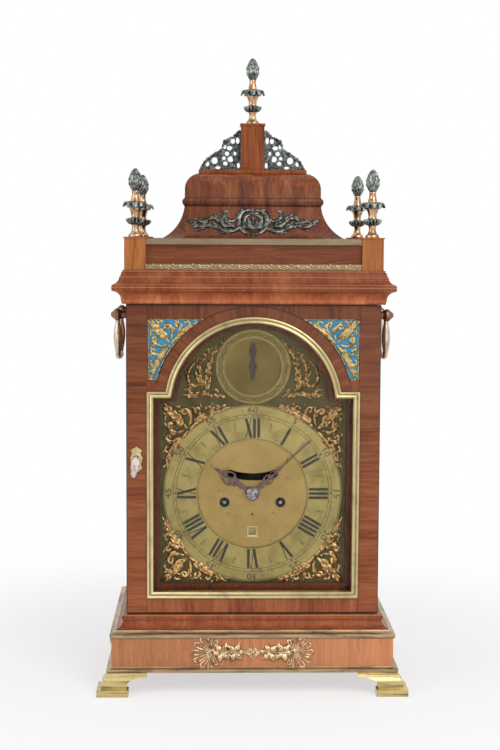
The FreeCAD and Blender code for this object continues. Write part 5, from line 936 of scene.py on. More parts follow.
class CLOCK_OT_door(ClockOperator):
    """Front door: veneer, double bezel moulding, glass and cloth"""
    bl_idname = "clock.door"
    bl_label = "Front door"

    def execute(self, context):
        dress("door_veneer", "front_door_frame")
        dress("clear_glass", "front_glass", "back_door_glass")
        dress("blue_silk", "fret_cloth")
        path = self.path()
        corners = self.mitres(path)
        front = BEZEL_LOW.y
        back = BEZEL_HIGH.y
        face = DOOR_LOW.y
        profile = [(0.05, face), (0.05, front + 0.9), (0.5, front + 0.25), (1.2, front), (2.0, front + 0.3),
                   (2.6, front + 1.1), (3.0, front + 1.35), (3.4, front + 1.1), (3.9, front + 0.45),
                   (4.8, front + 0.15), (5.7, front + 0.45), (6.5, front + 1.4), (6.95, face + 0.4),
                   (6.95, back), (3.55, back), (3.55, face), (0.05, face)]

        def place(u, inset, depth):
            at = round(u * len(path)) % len(path)
            (px, pz), (nx, nz) = path[at], corners[at]
            return px + nx * inset, depth, pz + nz * inset

        bezel = swept(len(path), profile, place)
        finished(bezel, "bezel_moulding", "pale_brass", "front_door", 35)
        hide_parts("front_bezel")
        return {"FINISHED"}

    def path(self):
        """Outer edge of the bezel, clockwise from the lower left."""
        spring = math.sqrt(BEZEL_R**2 - (SHOULDER_Z - ARCH_Z) ** 2)
        angle = math.degrees(math.atan2(spring, SHOULDER_Z - ARCH_Z))
        return [(-BEZEL_HALF, BEZEL_LOW.z), (-BEZEL_HALF, SHOULDER_Z),
                *curl(0, ARCH_Z, BEZEL_R, BEZEL_R, -angle, angle, 56),
                (BEZEL_HALF, SHOULDER_Z), (BEZEL_HALF, BEZEL_LOW.z)]

    def mitres(self, path):
        """Inward direction at each corner, lengthened where the path turns."""
        found = []
        for index, here in enumerate(path):
            before, after = path[index - 1], path[(index + 1) % len(path)]
            a = Vector((here[0] - before[0], here[1] - before[1])).normalized()
            b = Vector((after[0] - here[0], after[1] - here[1])).normalized()
            inward = Vector((a.y, -a.x))
            both = (inward + Vector((b.y, -b.x))).normalized()
            found.append(tuple(both / max(0.3, both.dot(inward))))
        return found


# ---------------------------------------------------------------- corner ornament
CORNER_SCROLLS = (
    (((0.43, 0.4), (0.54, 0.285), (0.67, 0.19), (0.82, 0.11), (1.0, 0.035)), (1.3, 2.0, 1.7, 1.2, 0.4), 12, 7.6, 0.12),
    (((0.42, 0.33), (0.46, 0.22), (0.42, 0.11), (0.33, 0.07), (0.28, 0.12), (0.33, 0.17), (0.37, 0.13)),
     (0.9, 1.9, 1.8, 1.4, 1.3), 5, 5.2, 0.15),
    (((0.54, 0.25), (0.6, 0.16), (0.58, 0.06), (0.51, 0.04), (0.48, 0.09), (0.53, 0.12)),
     (0.9, 1.6, 1.4, 1.2, 1.2), 4, 4.6, 0.2),
    (((0.71, 0.15), (0.77, 0.1), (0.76, 0.03), (0.69, 0.025), (0.67, 0.07)), (0.7, 1.3, 1.1, 1.0), 3, 3.6, 0.12),
    (((0.22, 0.14), (0.14, 0.05), (0.21, 0.02), (0.27, 0.04)), (0.6, 1.3, 1.1, 0.8), 2, 4.0, 0.12),
    (((0.85, 0.09), (0.9, 0.055), (0.89, 0.02), (0.84, 0.02)), (0.5, 0.9, 0.7, 0.6), 0, 6.0, 0.12),
)


def corner_strokes(corner, reach, size, leafy):
    """Leaf and scroll work that fills a corner; reach is the signed run along x and z."""
    def at(a, b):
        return corner[0] + a * reach[0], corner[1] + b * reach[1]

    strokes = sprig([at(share, share) for share in (0.38, 0.28, 0.16, 0.04)],
                    (1.0 * size, 2.4 * size, 2.0 * size, 0.5 * size), 8, 10.5 * leafy, 46.0, 0.02, 0.22)
    for points, radii, leaves, grow, start in CORNER_SCROLLS:
        scaled = tuple(radius * size for radius in radii)
        for flip in (False, True):
            placed = [at(b, a) if flip else at(a, b) for a, b in points]
            strokes += sprig(placed, scaled, leaves, grow * leafy, 58.0, start)
    return strokes


class CLOCK_OT_door_frets(ClockOperator):
    """Gilt scrollwork over the blue cloth in the corners of the door"""
    bl_idname = "clock.door_frets"
    bl_label = "Door frets"

    def execute(self, context):
        low, high = span("front_frets")
        radius = BEZEL_R + 10.3
        top_x = math.sqrt(radius**2 - (high.z - ARCH_Z) ** 2)
        foot_x = math.sqrt(radius**2 - (low.z - ARCH_Z) ** 2)
        first = math.degrees(math.atan2(foot_x, low.z - ARCH_Z))
        last = math.degrees(math.atan2(top_x, high.z - ARCH_Z))
        foot, corner, top = ((high.x - 0.5, low.z + 0.5), (high.x - 0.5, high.z - 0.5), (top_x + 0.5, high.z - 0.5))
        sweep = curl(0, ARCH_Z, radius + 0.3, radius + 0.3, last, first, 12)
        strokes = corner_strokes((high.x - 0.8, high.z - 0.8), (-(high.x - top_x - 2.0), -(high.z - low.z - 1.5)),
                                 1.0, 1.05)
        strokes += [([foot, foot, corner, corner], (0.55, 0.55)), ([corner, corner, top, top], (0.55, 0.55)),
                    (sweep, (0.55, 0.55)), ([foot, foot, sweep[-1], sweep[-1]], (0.5, 0.5))]
        right = cast(strokes, facing(high.y - 0.35, 0.62))
        fret = merged([right, copied(right, MIRROR_X)])
        finished(fret, "door_scrollwork", "fret_gilt", "front_door")
        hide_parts("front_frets")
        return {"FINISHED"}


# ---------------------------------------------------------------- dial
def round_dial(shape, degrees, radius):
    """A shape drawn about (0, 0) with its top outward, moved to its place round the dial."""
    sine, cosine = math.sin(math.radians(degrees)), math.cos(math.radians(degrees))
    return [(x * cosine + (radius + z) * sine, DIAL_Z - x * sine + (radius + z) * cosine) for x, z in shape]


def slab(x0, z0, x1, z1, first, last):
    """Four corners of a straight stroke, first and last being the widths of its ends."""
    return [(x0 - first / 2, z0), (x0 + first / 2, z0), (x1 + last / 2, z1), (x1 - last / 2, z1)]


class CLOCK_OT_dial(ClockOperator):
    """Dial plate, rings, numerals, minute marks and the small fittings of the dial centre"""
    bl_idname = "clock.dial"
    bl_label = "Dial"

    def execute(self, context):
        dress("dial_plate_brass", "dial_plate")
        dress("ring_brass", "dial_rings", "date_ring")
        sizes = context.scene.clock_sizes
        ink = sizes.ink / MM
        marks = flat_marks(self.hour_numerals(sizes.hour_mark / MM) + self.minute_track(), RING_FRONT, ink)
        finished(marks, "chapter_marks", "black_wax", "case")
        self.minute_numerals(sizes.minute_mark / MM, ink)
        self.fittings()
        return {"FINISHED"}

    def hour_numerals(self, tall):
        """Roman hours: thick and thin strokes with short slab ends."""
        half = tall / 2
        thick, thin = 2.6, 0.85
        letters = {
            "I": (4.1, [(0, -half, 0, half, thick)], [(0, half, 1.45), (0, -half, 1.45)]),
            "V": (7.4, [(-2.6, half, 0.4, -half, thick), (2.9, half, 0.6, -half, thin)],
                  [(-2.6, half, 1.6), (2.9, half, 0.9)]),
            "X": (7.2, [(-2.5, half, 2.5, -half, thick), (2.6, half, -2.6, -half, thin)],
                  [(-2.5, half, 1.6), (2.6, half, 0.9), (-2.6, -half, 0.9), (2.5, -half, 1.6)]),
        }
        quads = []
        for hour, word in enumerate("XII I II III IIII V VI VII VIII IX X XI".split()):
            at = -sum(letters[letter][0] for letter in word) / 2
            for letter in word:
                width, strokes, ends = letters[letter]
                centre = at + width / 2
                at += width
                shapes = [slab(centre + x0, z0, centre + x1, z1, wide, wide) for x0, z0, x1, z1, wide in strokes]
                shapes += [slab(centre + x, z, centre + x, z - math.copysign(0.45, z), wide * 2, wide * 1.6)
                           for x, z, wide in ends]
                quads += [round_dial(shape, hour * 30, 72.5 - half) for shape in shapes]
        return quads

    def minute_track(self):
        """Two circles with the minute strokes, the lines that bound the ring and the half-hour marks."""
        quads = []
        for radius, wide in ((76.5, 0.42), (73.7, 0.42), (84.9, 0.6), (53.2, 0.4)):
            for start in range(0, 360, 3):
                quads.append([*round_dial([(0, radius)], start, 0), *round_dial([(0, radius)], start + 3, 0),
                              *round_dial([(0, radius - wide)], start + 3, 0),
                              *round_dial([(0, radius - wide)], start, 0)])
        for minute in range(60):
            wide = 0.42 if minute % 5 else 1.0
            quads.append(round_dial(slab(0, -1.2, 0, 1.2, wide, wide), minute * 6, 75.2))
        for hour in range(12):
            for x0, z0, x1, z1, wide in ((0, -4.2, 0, 4.4, 0.38), (0, 1.0, 1.6, 3.0, 0.36), (0, 1.0, -1.6, 3.0, 0.36),
                                         (0, -1.2, 1.3, 0.2, 0.36), (0, -1.2, -1.3, 0.2, 0.36)):
                quads.append(round_dial(slab(x0, z0, x1, z1, wide, wide), hour * 30 + 15, 66.5))
        return quads

    def minute_numerals(self, tall, ink):
        """Minutes 5 to 60 outside the track."""
        words = []
        for index in range(1, 13):
            settle()
            bpy.ops.object.text_add()
            word = bpy.context.object
            word.data.body = str(index * 5)
            word.data.size = tall * 1.38
            word.data.align_x = "CENTER"
            word.data.align_y = "CENTER"
            word.data.extrude = ink / 2
            word.data.resolution_u = 3

            def place(across, up, lift, degrees=index * 30):
                (x, z), = round_dial([(across * 1.3, up)], degrees, 80.6)
                return x, RING_FRONT - ink / 2 - lift, z

            words.append(laid(to_mesh(word), place))
        piece = mended(merged(words), 0.000001)
        finished(piece, "minute_numerals", "black_wax", "case")

    def fittings(self):
        """Rings round the winding holes and the frame of the date."""
        front = DIAL_FRONT
        profile = [(5.0, front), (4.7, front - 0.25), (4.3, front - 0.3), (3.8, front - 0.25), (3.6, front + 1.0),
                   (5.0, front)]
        rings = [dial_turning(side * WINDING_X, WINDING_Z, 40, profile) for side in (-1, 1)]
        finished(merged(rings), "winding_rings", "black_wax", "case", 40)
        corners = [(-1, -1), (-1, 1), (1, 1), (1, -1)]

        def place(u, out, lift):
            side, up = corners[round(u * 4) % 4]
            return side * (DATE_HALF + out), front - lift, DATE_Z + up * (DATE_HALF + out)

        window = swept(4, [(2.2, 0.0), (2.0, 0.8), (1.3, 1.0), (0.0, 0.1), (0.0, -1.5), (2.2, 0.0)], place)
        finished(window, "date_frame", "pale_brass", "case")


class CLOCK_OT_spandrels(ClockOperator):
    """Gilt rococo castings in the corners and the arch of the dial"""
    bl_idname = "clock.spandrels"
    bl_label = "Spandrels"

    def execute(self, context):
        reach = RING_R + 0.6
        lay = facing(DIAL_FRONT - 0.5, 0.75)
        lower = cast(corner_strokes((reach, DIAL_Z - reach), (-61.0, 61.0), 1.22, 1.34), lay)
        across = (Matrix.Translation((0, 0, DIAL_Z * MM)) @ Matrix.Diagonal((1, 1, -1, 1))
                  @ Matrix.Translation((0, 0, -DIAL_Z * MM)))
        upper = copied(lower, across)
        right = [lower, upper, cast(self.arch_strokes(), lay)]
        casting = merged(right + [copied(piece, MIRROR_X) for piece in right])
        finished(casting, "dial_castings", "gilt", "case")
        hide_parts("spandrels")
        return {"FINISHED"}

    def arch_strokes(self):
        """Scrolls that climb between the small ring and the arch, on the right."""
        long_stem = (60.0, 0.03, 0.26)
        strokes = []
        for points, radii, count, size, options in (
                (((51, 44), (59, 37), (63.5, 28), (61, 19), (54, 15), (50, 20), (54, 25)),
                 (0.6, 1.9, 2.1, 1.9, 1.5, 1.5), 6, 4.6, (60.0, 0.3)),
                (((67, 8.5), (57, 8), (47, 9.5), (37, 8), (25, 7)), (0.8, 2.0, 1.9, 1.5, 0.4), 14, 7.0, long_stem),
                (((67, 13), (62, 16), (58, 11), (62, 8)), (0.7, 1.8, 1.6, 1.2), 5, 5.2, ()),
                (((46, 10), (43.5, 21), (42.5, 33), (40, 43), (35, 52), (26, 61)), (0.7, 2.0, 2.0, 1.6, 0.4), 18, 8.0,
                 long_stem),
                (((48, 14), (52, 27), (51.5, 37), (46, 46), (40, 54)), (0.7, 1.9, 1.7, 1.3, 0.4), 13, 7.5, long_stem),
                (((42, 13), (36, 15), (31, 12), (34, 10)), (0.6, 1.4, 1.2, 1.0), 3, 4.0, ())):
            strokes += sprig(moved(points, 0, ARCH_Z), radii, count, size, *options)
        return strokes


# ---------------------------------------------------------------- hands
def oval(cx, cz, across, up, lean=0.0):
    """Fourteen points round a hole, leaning clockwise."""
    turn = math.radians(lean)
    points = []
    for index in range(14):
        angle = 2 * math.pi * index / 14
        x, z = across * math.cos(angle), up * math.sin(angle)
        points.append((cx + x * math.cos(turn) + z * math.sin(turn), cz - x * math.sin(turn) + z * math.cos(turn)))
    return points


def pair_of_holes(cx, cz, across, up, lean=0.0):
    """An oval hole and its mirror image."""
    return [oval(cx, cz, across, up, lean), oval(-cx, cz, across, up, -lean)]


def hand(side, holes, depths, z, degrees):
    """A pierced hand from its right half, listed from the tip down."""
    sine, cosine = math.sin(math.radians(degrees)), math.cos(math.radians(degrees))
    front, back = depths
    middle = (front + back) / 2
    return pierced([mirrored(side)] + holes, back - front, 0.14, lambda across, up, lift: (
        across * cosine + up * sine, middle - lift, z - across * sine + up * cosine))


class CLOCK_OT_hands(ClockOperator):
    """Pierced steel hands, the collet and the small hand of the arch"""
    bl_idname = "clock.hands"
    bl_label = "Hands"

    def execute(self, context):
        low, high = span("hour_hand")
        side = [(0, 48), (0.5, 44), (1.5, 39), (1.2, 37), (3.0, 35), (5.6, 31.5), (7.2, 27), (6.4, 23.5), (4.4, 22),
                (4.8, 20), (3.4, 18), (1.8, 16), (2.8, 13), (1.6, 10.5), (1.5, 8.5), (3.4, 6.2), (5.2, 3.0), (5.5, 0),
                (4.6, -3.2), (2.4, -5.0), (0, -5.5)]
        holes = pair_of_holes(3.4, 27.5, 2.1, 3.5, -18) + [oval(0, 33.5, 0.75, 2.2), oval(0, 19.8, 1.5, 1.3)]
        hour = hand(side, holes, (low.y, high.y), DIAL_Z, HOUR_ANGLE)
        finished(hour, "hour_pointer", "blued_steel", "hour_wheel")
        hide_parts("hour_hand")
        side = [(0, 78), (0.35, 74.4), (1.5, 73.8), (1.5, 73.1), (0.42, 72.6), (0.75, 38), (1.3, 35), (1.0, 33.5),
                (2.2, 31), (3.9, 27.5), (3.2, 24.5), (4.6, 22), (4.9, 19), (3.2, 16.5), (1.6, 14.5), (2.8, 12),
                (1.5, 9.5), (1.7, 6.5), (3.4, 4.4), (4.5, 1.5), (4.5, -1.5), (2.9, -3.8), (0, -4.5)]
        holes = pair_of_holes(1.9, 27.3, 0.95, 2.3, -12) + pair_of_holes(2.4, 20.4, 1.2, 2.3, 12)
        blade = hand(side, holes, MINUTE_DEPTH, DIAL_Z, MINUTE_ANGLE)
        finished(blade, "minute_pointer", "blued_steel", "centre_arbor")
        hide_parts("minute_hand")
        collet = dial_turning(0, DIAL_Z, 36, [(0.0, -72.55), (2.0, -72.55), (2.3, -72.2), (4.6, -71.9), (5.9, -71.5),
                                              (6.3, -70.95), (0.0, -70.9)])
        finished(collet, "hand_collet", "worn_silver", "centre_arbor", 40)
        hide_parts("minute_hand")
        dress("arch_steel", "arch_hand")
        side = [(0, 25), (0.6, 22), (1.6, 19.5), (3.4, 17.5), (3.6, 15), (2.2, 13.5), (1.2, 12), (2.0, 10.5),
                (1.0, 6.8), (1.3, 4.6), (3.0, 2.6), (3.6, 0), (3.0, -2.6), (1.3, -4.2), (1.1, -7.5), (2.0, -10),
                (1.2, -11.6), (0, -12)]
        small = hand(side, pair_of_holes(1.7, 16.0, 0.8, 1.3), ARCH_HAND_DEPTH, ARCH_RING_Z, 0.0)
        finished(small, "arch_pointer", "arch_steel", "arch_hand")
        return {"FINISHED"}


# ---------------------------------------------------------------- top
FINIAL_TURNINGS = (
    ("foot", "copper_gold", 36, 12, 0.0,
     ((0.0, 0.0, 0), (0.5, 0.0, 0), (0.52, 0.02, 0), (0.44, 0.045, 0), (0.34, 0.06, 0), (0.27, 0.1, 0), (0.25, 0.15, 0),
      (0.3, 0.165, 0), (0.3, 0.18, 0), (0.0, 0.19, 0))),
    ("cup", "leaf_bronze", 112, 14, 0.3,
     ((0.0, 0.17, 0), (0.3, 0.175, 0), (0.5, 0.19, 1), (0.63, 0.215, 1), (0.7, 0.245, 1), (0.69, 0.262, 1),
      (0.56, 0.27, 0.5), (0.4, 0.275, 0), (0.0, 0.28, 0))),
    ("vase", "copper_gold", 36, 12, 0.0,
     ((0.0, 0.26, 0), (0.3, 0.265, 0), (0.34, 0.28, 0), (0.3, 0.295, 0), (0.31, 0.33, 0), (0.36, 0.37, 0),
      (0.43, 0.405, 0), (0.47, 0.42, 0), (0.5, 0.435, 0), (0.0, 0.45, 0))),
    ("leaf_disc", "leaf_bronze", 60, 10, 0.15,
     ((0.0, 0.42, 0), (0.55, 0.425, 0), (0.66, 0.44, 1), (0.64, 0.47, 1), (0.5, 0.49, 1), (0.0, 0.5, 0))),
    ("neck", "copper_gold", 36, 12, 0.0,
     ((0.0, 0.48, 0), (0.46, 0.485, 0), (0.42, 0.505, 0), (0.33, 0.54, 0), (0.27, 0.59, 0), (0.24, 0.64, 0),
      (0.27, 0.655, 0), (0.24, 0.67, 0), (0.0, 0.68, 0))),
)
FLAME_OUTLINE = ((0.0, 0.22), (0.08, 0.32), (0.2, 0.46), (0.34, 0.54), (0.48, 0.54), (0.62, 0.48), (0.78, 0.37),
                 (0.9, 0.26), (0.97, 0.15), (1.0, 0.0))


class CLOCK_OT_finials(ClockOperator):
    """Turned vases with a leaf disc and a scaled flame, on the posts and the pedestal"""
    bl_idname = "clock.finials"
    bl_label = "Finials"

    def execute(self, context):
        low, high = span("finials")
        parts = []
        for word, key, sides, lobes, depth, profile in FINIAL_TURNINGS:
            part = self.turned(profile, sides, lobes, depth)
            parts.append((merged([self.leaves(), part]) if word == "leaf_disc" else part, word, key))
        parts.append((self.flame(context.scene.clock_sizes.flame), "flame", "leaf_bronze"))
        seats = [(x, y, low.z) for x in (-POST_X, POST_X) for y in (-POST_Y, POST_Y)]
        for index, seat in enumerate(seats + [(0, 0, high.z - FINIAL_TALL)]):
            move = Matrix.Translation(Vector(seat) * MM)
            for part, word, key in parts:
                piece = finished(copied(part, move), "finial_%s_%d" % (word, index + 1), key, "case",
                                 50)
                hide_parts("finials")
        for part, word, key in parts:
            bpy.data.objects.remove(part)
        return {"FINISHED"}

    def turned(self, profile, sides, lobes, depth):
        """A lobed turning from rows of radius, height and depth of the lobes, as shares."""
        def place(u, share, up, lobed):
            angle = 2 * math.pi * u
            swell = 1.0 - lobed * depth * (1 - abs(math.cos(lobes * angle / 2)))
            radius = FINIAL_WIDE * share * swell
            return radius * math.cos(angle), radius * math.sin(angle), FINIAL_TALL * up

        return swept(sides, profile, place)

    def leaves(self):
        """Ring of ten leaves that reach out and droop at their tips."""
        def place(u, v):
            out = 1 - abs(v - 0.5) * 2
            across = (u - 0.5) * 2
            width = 0.3 * math.sin(math.pi * min(1.0, 0.3 + out * 0.62)) ** 0.7
            reach = 0.46 + 0.52 * out - 0.07 * abs(across) * out
            droop = 0.49 + 0.03 * math.sin(math.pi * out * 0.8) - 0.05 * out**3
            droop += 0.012 * (1 - across * across) * (1 - out)
            thick = 0.0 if v < 0.5 else -0.045 * (1 - out * 0.5)
            return FINIAL_WIDE * reach, FINIAL_WIDE * width * across, FINIAL_TALL * (droop + thick)

        one = wrapped(6, 14, place)
        ring = [copied(one, Matrix.Rotation(math.radians(index * 36 + 18), 4, "Z")) for index in range(10)]
        bpy.data.objects.remove(one)
        return merged(ring)

    def flame(self, scales):
        """Pointed bud with rows of overlapping scales."""
        def place(u, v):
            low = max(index for index in range(len(FLAME_OUTLINE) - 1) if FLAME_OUTLINE[index][0] <= v or index == 0)
            (v0, r0), (v1, r1) = FLAME_OUTLINE[low], FLAME_OUTLINE[low + 1]
            radius = FINIAL_WIDE * (r0 + (r1 - r0) * (v - v0) / (v1 - v0)) if 0 < v < 1 else 0.0
            row = v * 4.2
            shift = 0.5 * (int(row) % 2)
            lobe = abs(math.cos(math.pi * (u * scales + shift)))
            step = 1 - (row - int(row))
            radius *= 0.8 + 0.22 * (lobe**0.6) * (0.45 + 0.55 * step)
            angle = 2 * math.pi * u
            return radius * math.cos(angle), radius * math.sin(angle), FINIAL_TALL * (0.665 + 0.334 * v)

        return wrapped(scales * 6, 40, place)


class CLOCK_OT_top_frets(ClockOperator):
    """Pierced leafy brackets beside the pedestal block"""
    bl_idname = "clock.top_frets"
    bl_label = "Top frets"

    def execute(self, context):
        low, high = span("top_frets")
        wide = high.x - BLOCK_HALF - 0.2
        tall = high.z - low.z - 0.3

        def at(x, up):
            return BLOCK_HALF + wide * x, low.z + tall * up

        edge = ((0.0, 0.0), (1.0, 0.0), (0.985, 0.06), (0.93, 0.16), (0.89, 0.19), (0.84, 0.28), (0.79, 0.3),
                (0.74, 0.37), (0.68, 0.4), (0.62, 0.46), (0.55, 0.48), (0.5, 0.53), (0.455, 0.55), (0.46, 0.62),
                (0.43, 0.7), (0.37, 0.77), (0.3, 0.81), (0.24, 0.84), (0.19, 0.84), (0.18, 0.89), (0.14, 0.91),
                (0.11, 0.95), (0.06, 0.96), (0.03, 1.0), (0.0, 1.0))
        loops = [[at(*spot) for spot in edge]]
        for across, up, width, height in (
                (0.19, 0.73, 0.05, 0.07), (0.075, 0.74, 0.042, 0.08), (0.385, 0.585, 0.035, 0.055),
                (0.27, 0.555, 0.068, 0.05), (0.33, 0.415, 0.052, 0.055), (0.405, 0.3, 0.04, 0.045),
                (0.24, 0.28, 0.07, 0.072), (0.37, 0.17, 0.055, 0.05), (0.63, 0.24, 0.075, 0.085),
                (0.81, 0.16, 0.048, 0.065), (0.55, 0.065, 0.065, 0.035), (0.055, 0.12, 0.035, 0.07),
                (0.14, 0.42, 0.035, 0.05)):
            loops.append([at(across + width * math.sin(turn * math.pi / 6), up + height * math.cos(turn * math.pi / 6))
                          for turn in range(12)])
        pieces = [pierced(loops, 1.6, 0.25, facing(0.0))]
        relief = []
        for line, count in ((((0.94, 0.05), (0.83, 0.25), (0.71, 0.34), (0.58, 0.42), (0.47, 0.49)), 11),
                            (((0.43, 0.6), (0.39, 0.7), (0.28, 0.78), (0.2, 0.81)), 7),
                            (((0.16, 0.84), (0.1, 0.9), (0.05, 0.96)), 4),
                            (((0.14, 0.06), (0.3, 0.05), (0.45, 0.1), (0.52, 0.2), (0.5, 0.33)), 9),
                            (((0.04, 0.24), (0.05, 0.4), (0.05, 0.55), (0.06, 0.64)), 8),
                            (((0.16, 0.14), (0.14, 0.25), (0.2, 0.37), (0.22, 0.46), (0.15, 0.6)), 8),
                            (((0.95, 0.04), (0.85, 0.05), (0.7, 0.09)), 5)):
            relief += sprig([at(*spot) for spot in line], (1.0, 1.3, 0.9, 0.5), count, 4.2, 62.0, 0.05, 0.24)
        for side in (-1, 1):
            pieces.append(cast(relief, lambda x, up, lift, side=side: (
                max(x, BLOCK_HALF), side * (0.6 + abs(lift)) if side * lift > 0 else side * 0.5,
                min(max(up, low.z), high.z)), 1, 3))
        right = merged(pieces)
        fret = merged([right, copied(right, MIRROR_X)])
        finished(fret, "top_brackets", "top_fret_bronze", "case", 40)
        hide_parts("top_frets")
        return {"FINISHED"}


class CLOCK_OT_bell_mount(ClockOperator):
    """Cartouche with scrolled wings on the hollow front of the bell"""
    bl_idname = "clock.bell_mount"
    bl_label = "Bell mount"

    def execute(self, context):
        low, high = span("bell_mount")
        foot_z, neck_z = 430.8, high.z
        foot_y, neck_y = BELL_LOW.y, BELL_LOW.y + 20.8
        run = math.hypot(neck_y - foot_y, neck_z - foot_z)
        bow = 4.7
        radius = (run * run / 4 + bow * bow) / (2 * bow)
        centre_y = (foot_y + neck_y) / 2 - (neck_z - foot_z) / run * (radius - bow)
        centre_z = (foot_z + neck_z) / 2 + (neck_y - foot_y) / run * (radius - bow)

        def surface(z):
            """Depth of the hollow flare at a height."""
            return centre_y + math.sqrt(max(0.0, radius**2 - (min(max(z, foot_z), neck_z) - centre_z) ** 2))

        z = (low.z + high.z) / 2
        strokes = [([(0, z - 1.5), (0, z), (0, z + 1.5)], (2.0, 3.2, 2.0))]
        for up, size, lean, step, count, width in ((-6.5, 12.5, 0, 25, 7, 0.13), (7.5, 7.0, 0, 36, 5, 0.26),
                                                   (-8.5, 6.3, 180, 50, 3, 0.28)):
            strokes += [leaf(0, z + up, size, lean + (index - count // 2) * step, 0, width) for index in range(count)]
        wing = (
            ([(1, 11), (7, 12), (12.5, 8.5), (14.5, 1), (12, -6.5), (6, -10.5), (1, -11)],
             (1.2, 2.6, 2.9, 2.8, 2.6, 1.4), 12, 6.6),
            ([(2, 7), (7, 6.5), (9.5, 1), (6.5, -4.5), (3, -3), (4.5, 0)], (1.0, 2.1, 2.1, 1.7, 1.4), 5, 4.6),
            ([(13, -5), (20, -9), (28, -8), (36, -3.5), (43, -2.5), (50, -5.5), (57, -3), (62, 1.8)],
             (2.0, 2.7, 2.4, 2.2, 2.0, 1.7, 1.4, 0.9), 22, 8.0),
            ([(15, 4), (20, -0.5), (26, 2), (29, 7.5), (25.5, 11)], (1.2, 2.2, 2.1, 1.7, 0.9), 11, 7.0),
            ([(26, -5), (32, 1.5), (37, 5), (43, 3.5), (46.5, -0.5)], (1.3, 2.2, 2.0, 1.6, 0.8), 11, 7.0),
            ([(18, -4), (22, -3), (25, -5), (28, -2)], (1.3, 2.0, 1.8, 1.3), 6, 5.5),
            ([(43, -3), (49, 1), (55, 1.5), (57.5, -1.5), (54, -2.8)], (1.0, 1.8, 1.5, 1.2, 1.0), 8, 5.4),
        )
        for points, radii, count, size in wing:
            for side in (-1, 1):
                strokes += sprig(moved(points, 0, z, side), radii, count, size, side * 55.0)
        mount = cast(strokes, lambda x, up, lift: (x, surface(up) - 0.5 - lift * 0.9, min(max(up, low.z), high.z)))
        finished(mount, "bell_cartouche", "dark_bronze", "case")
        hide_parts("bell_mount")
        return {"FINISHED"}


class CLOCK_OT_gallery(ClockOperator):
    """Running leaf ornament on the brass strips of the gallery"""
    bl_idname = "clock.gallery"
    bl_label = "Gallery strips"

    def execute(self, context):
        low, high = span("gallery_panels")
        pitch = context.scene.clock_sizes.strip_pitch / MM
        middle = CORNICE_HIGH.z + 2.9
        strip_t, flat = 1.2, 0.42
        end_x, end_y = 101.4, 64.4
        runs = ((end_x, lambda x, up, lift: (x, low.y - strip_t - lift * flat, up)),
                (end_x, lambda x, up, lift: (-x, high.y + strip_t + lift * flat, up)),
                (end_y, lambda x, up, lift: (high.x + strip_t + lift * flat, x, up)),
                (end_y, lambda x, up, lift: (low.x - strip_t - lift * flat, -x, up)))
        for index, (end, place) in enumerate(runs):
            count = int(2 * end / pitch)
            step = 2 * end / count
            strokes = []
            for unit in range(count):
                x = -end + (unit + 0.5) * step
                flip = 1 if unit % 2 else -1
                strokes.append(([(x - step / 2, middle - flip * 1.6), (x - step / 5, middle - flip * 1.6),
                                 (x + step / 5, middle + flip * 1.6), (x + step / 2, middle + flip * 1.6)],
                                (0.5, 0.8, 0.5)))
                for shift, lean, size in ((-2.6, 60, 3.6), (-0.8, 120, 3.4), (1.2, -60, 3.6), (2.8, -120, 3.4),
                                          (0.2, 15, 2.7), (3.4, 10, 2.5)):
                    strokes.append(leaf(x + shift, middle - flip * shift * 0.35, size, lean * flip, 35 * flip, 0.24))
            finished(cast(strokes, place, 1, 2), "leaf_strip_%d" % (index + 1), "strip_gilt", "case")
        return {"FINISHED"}


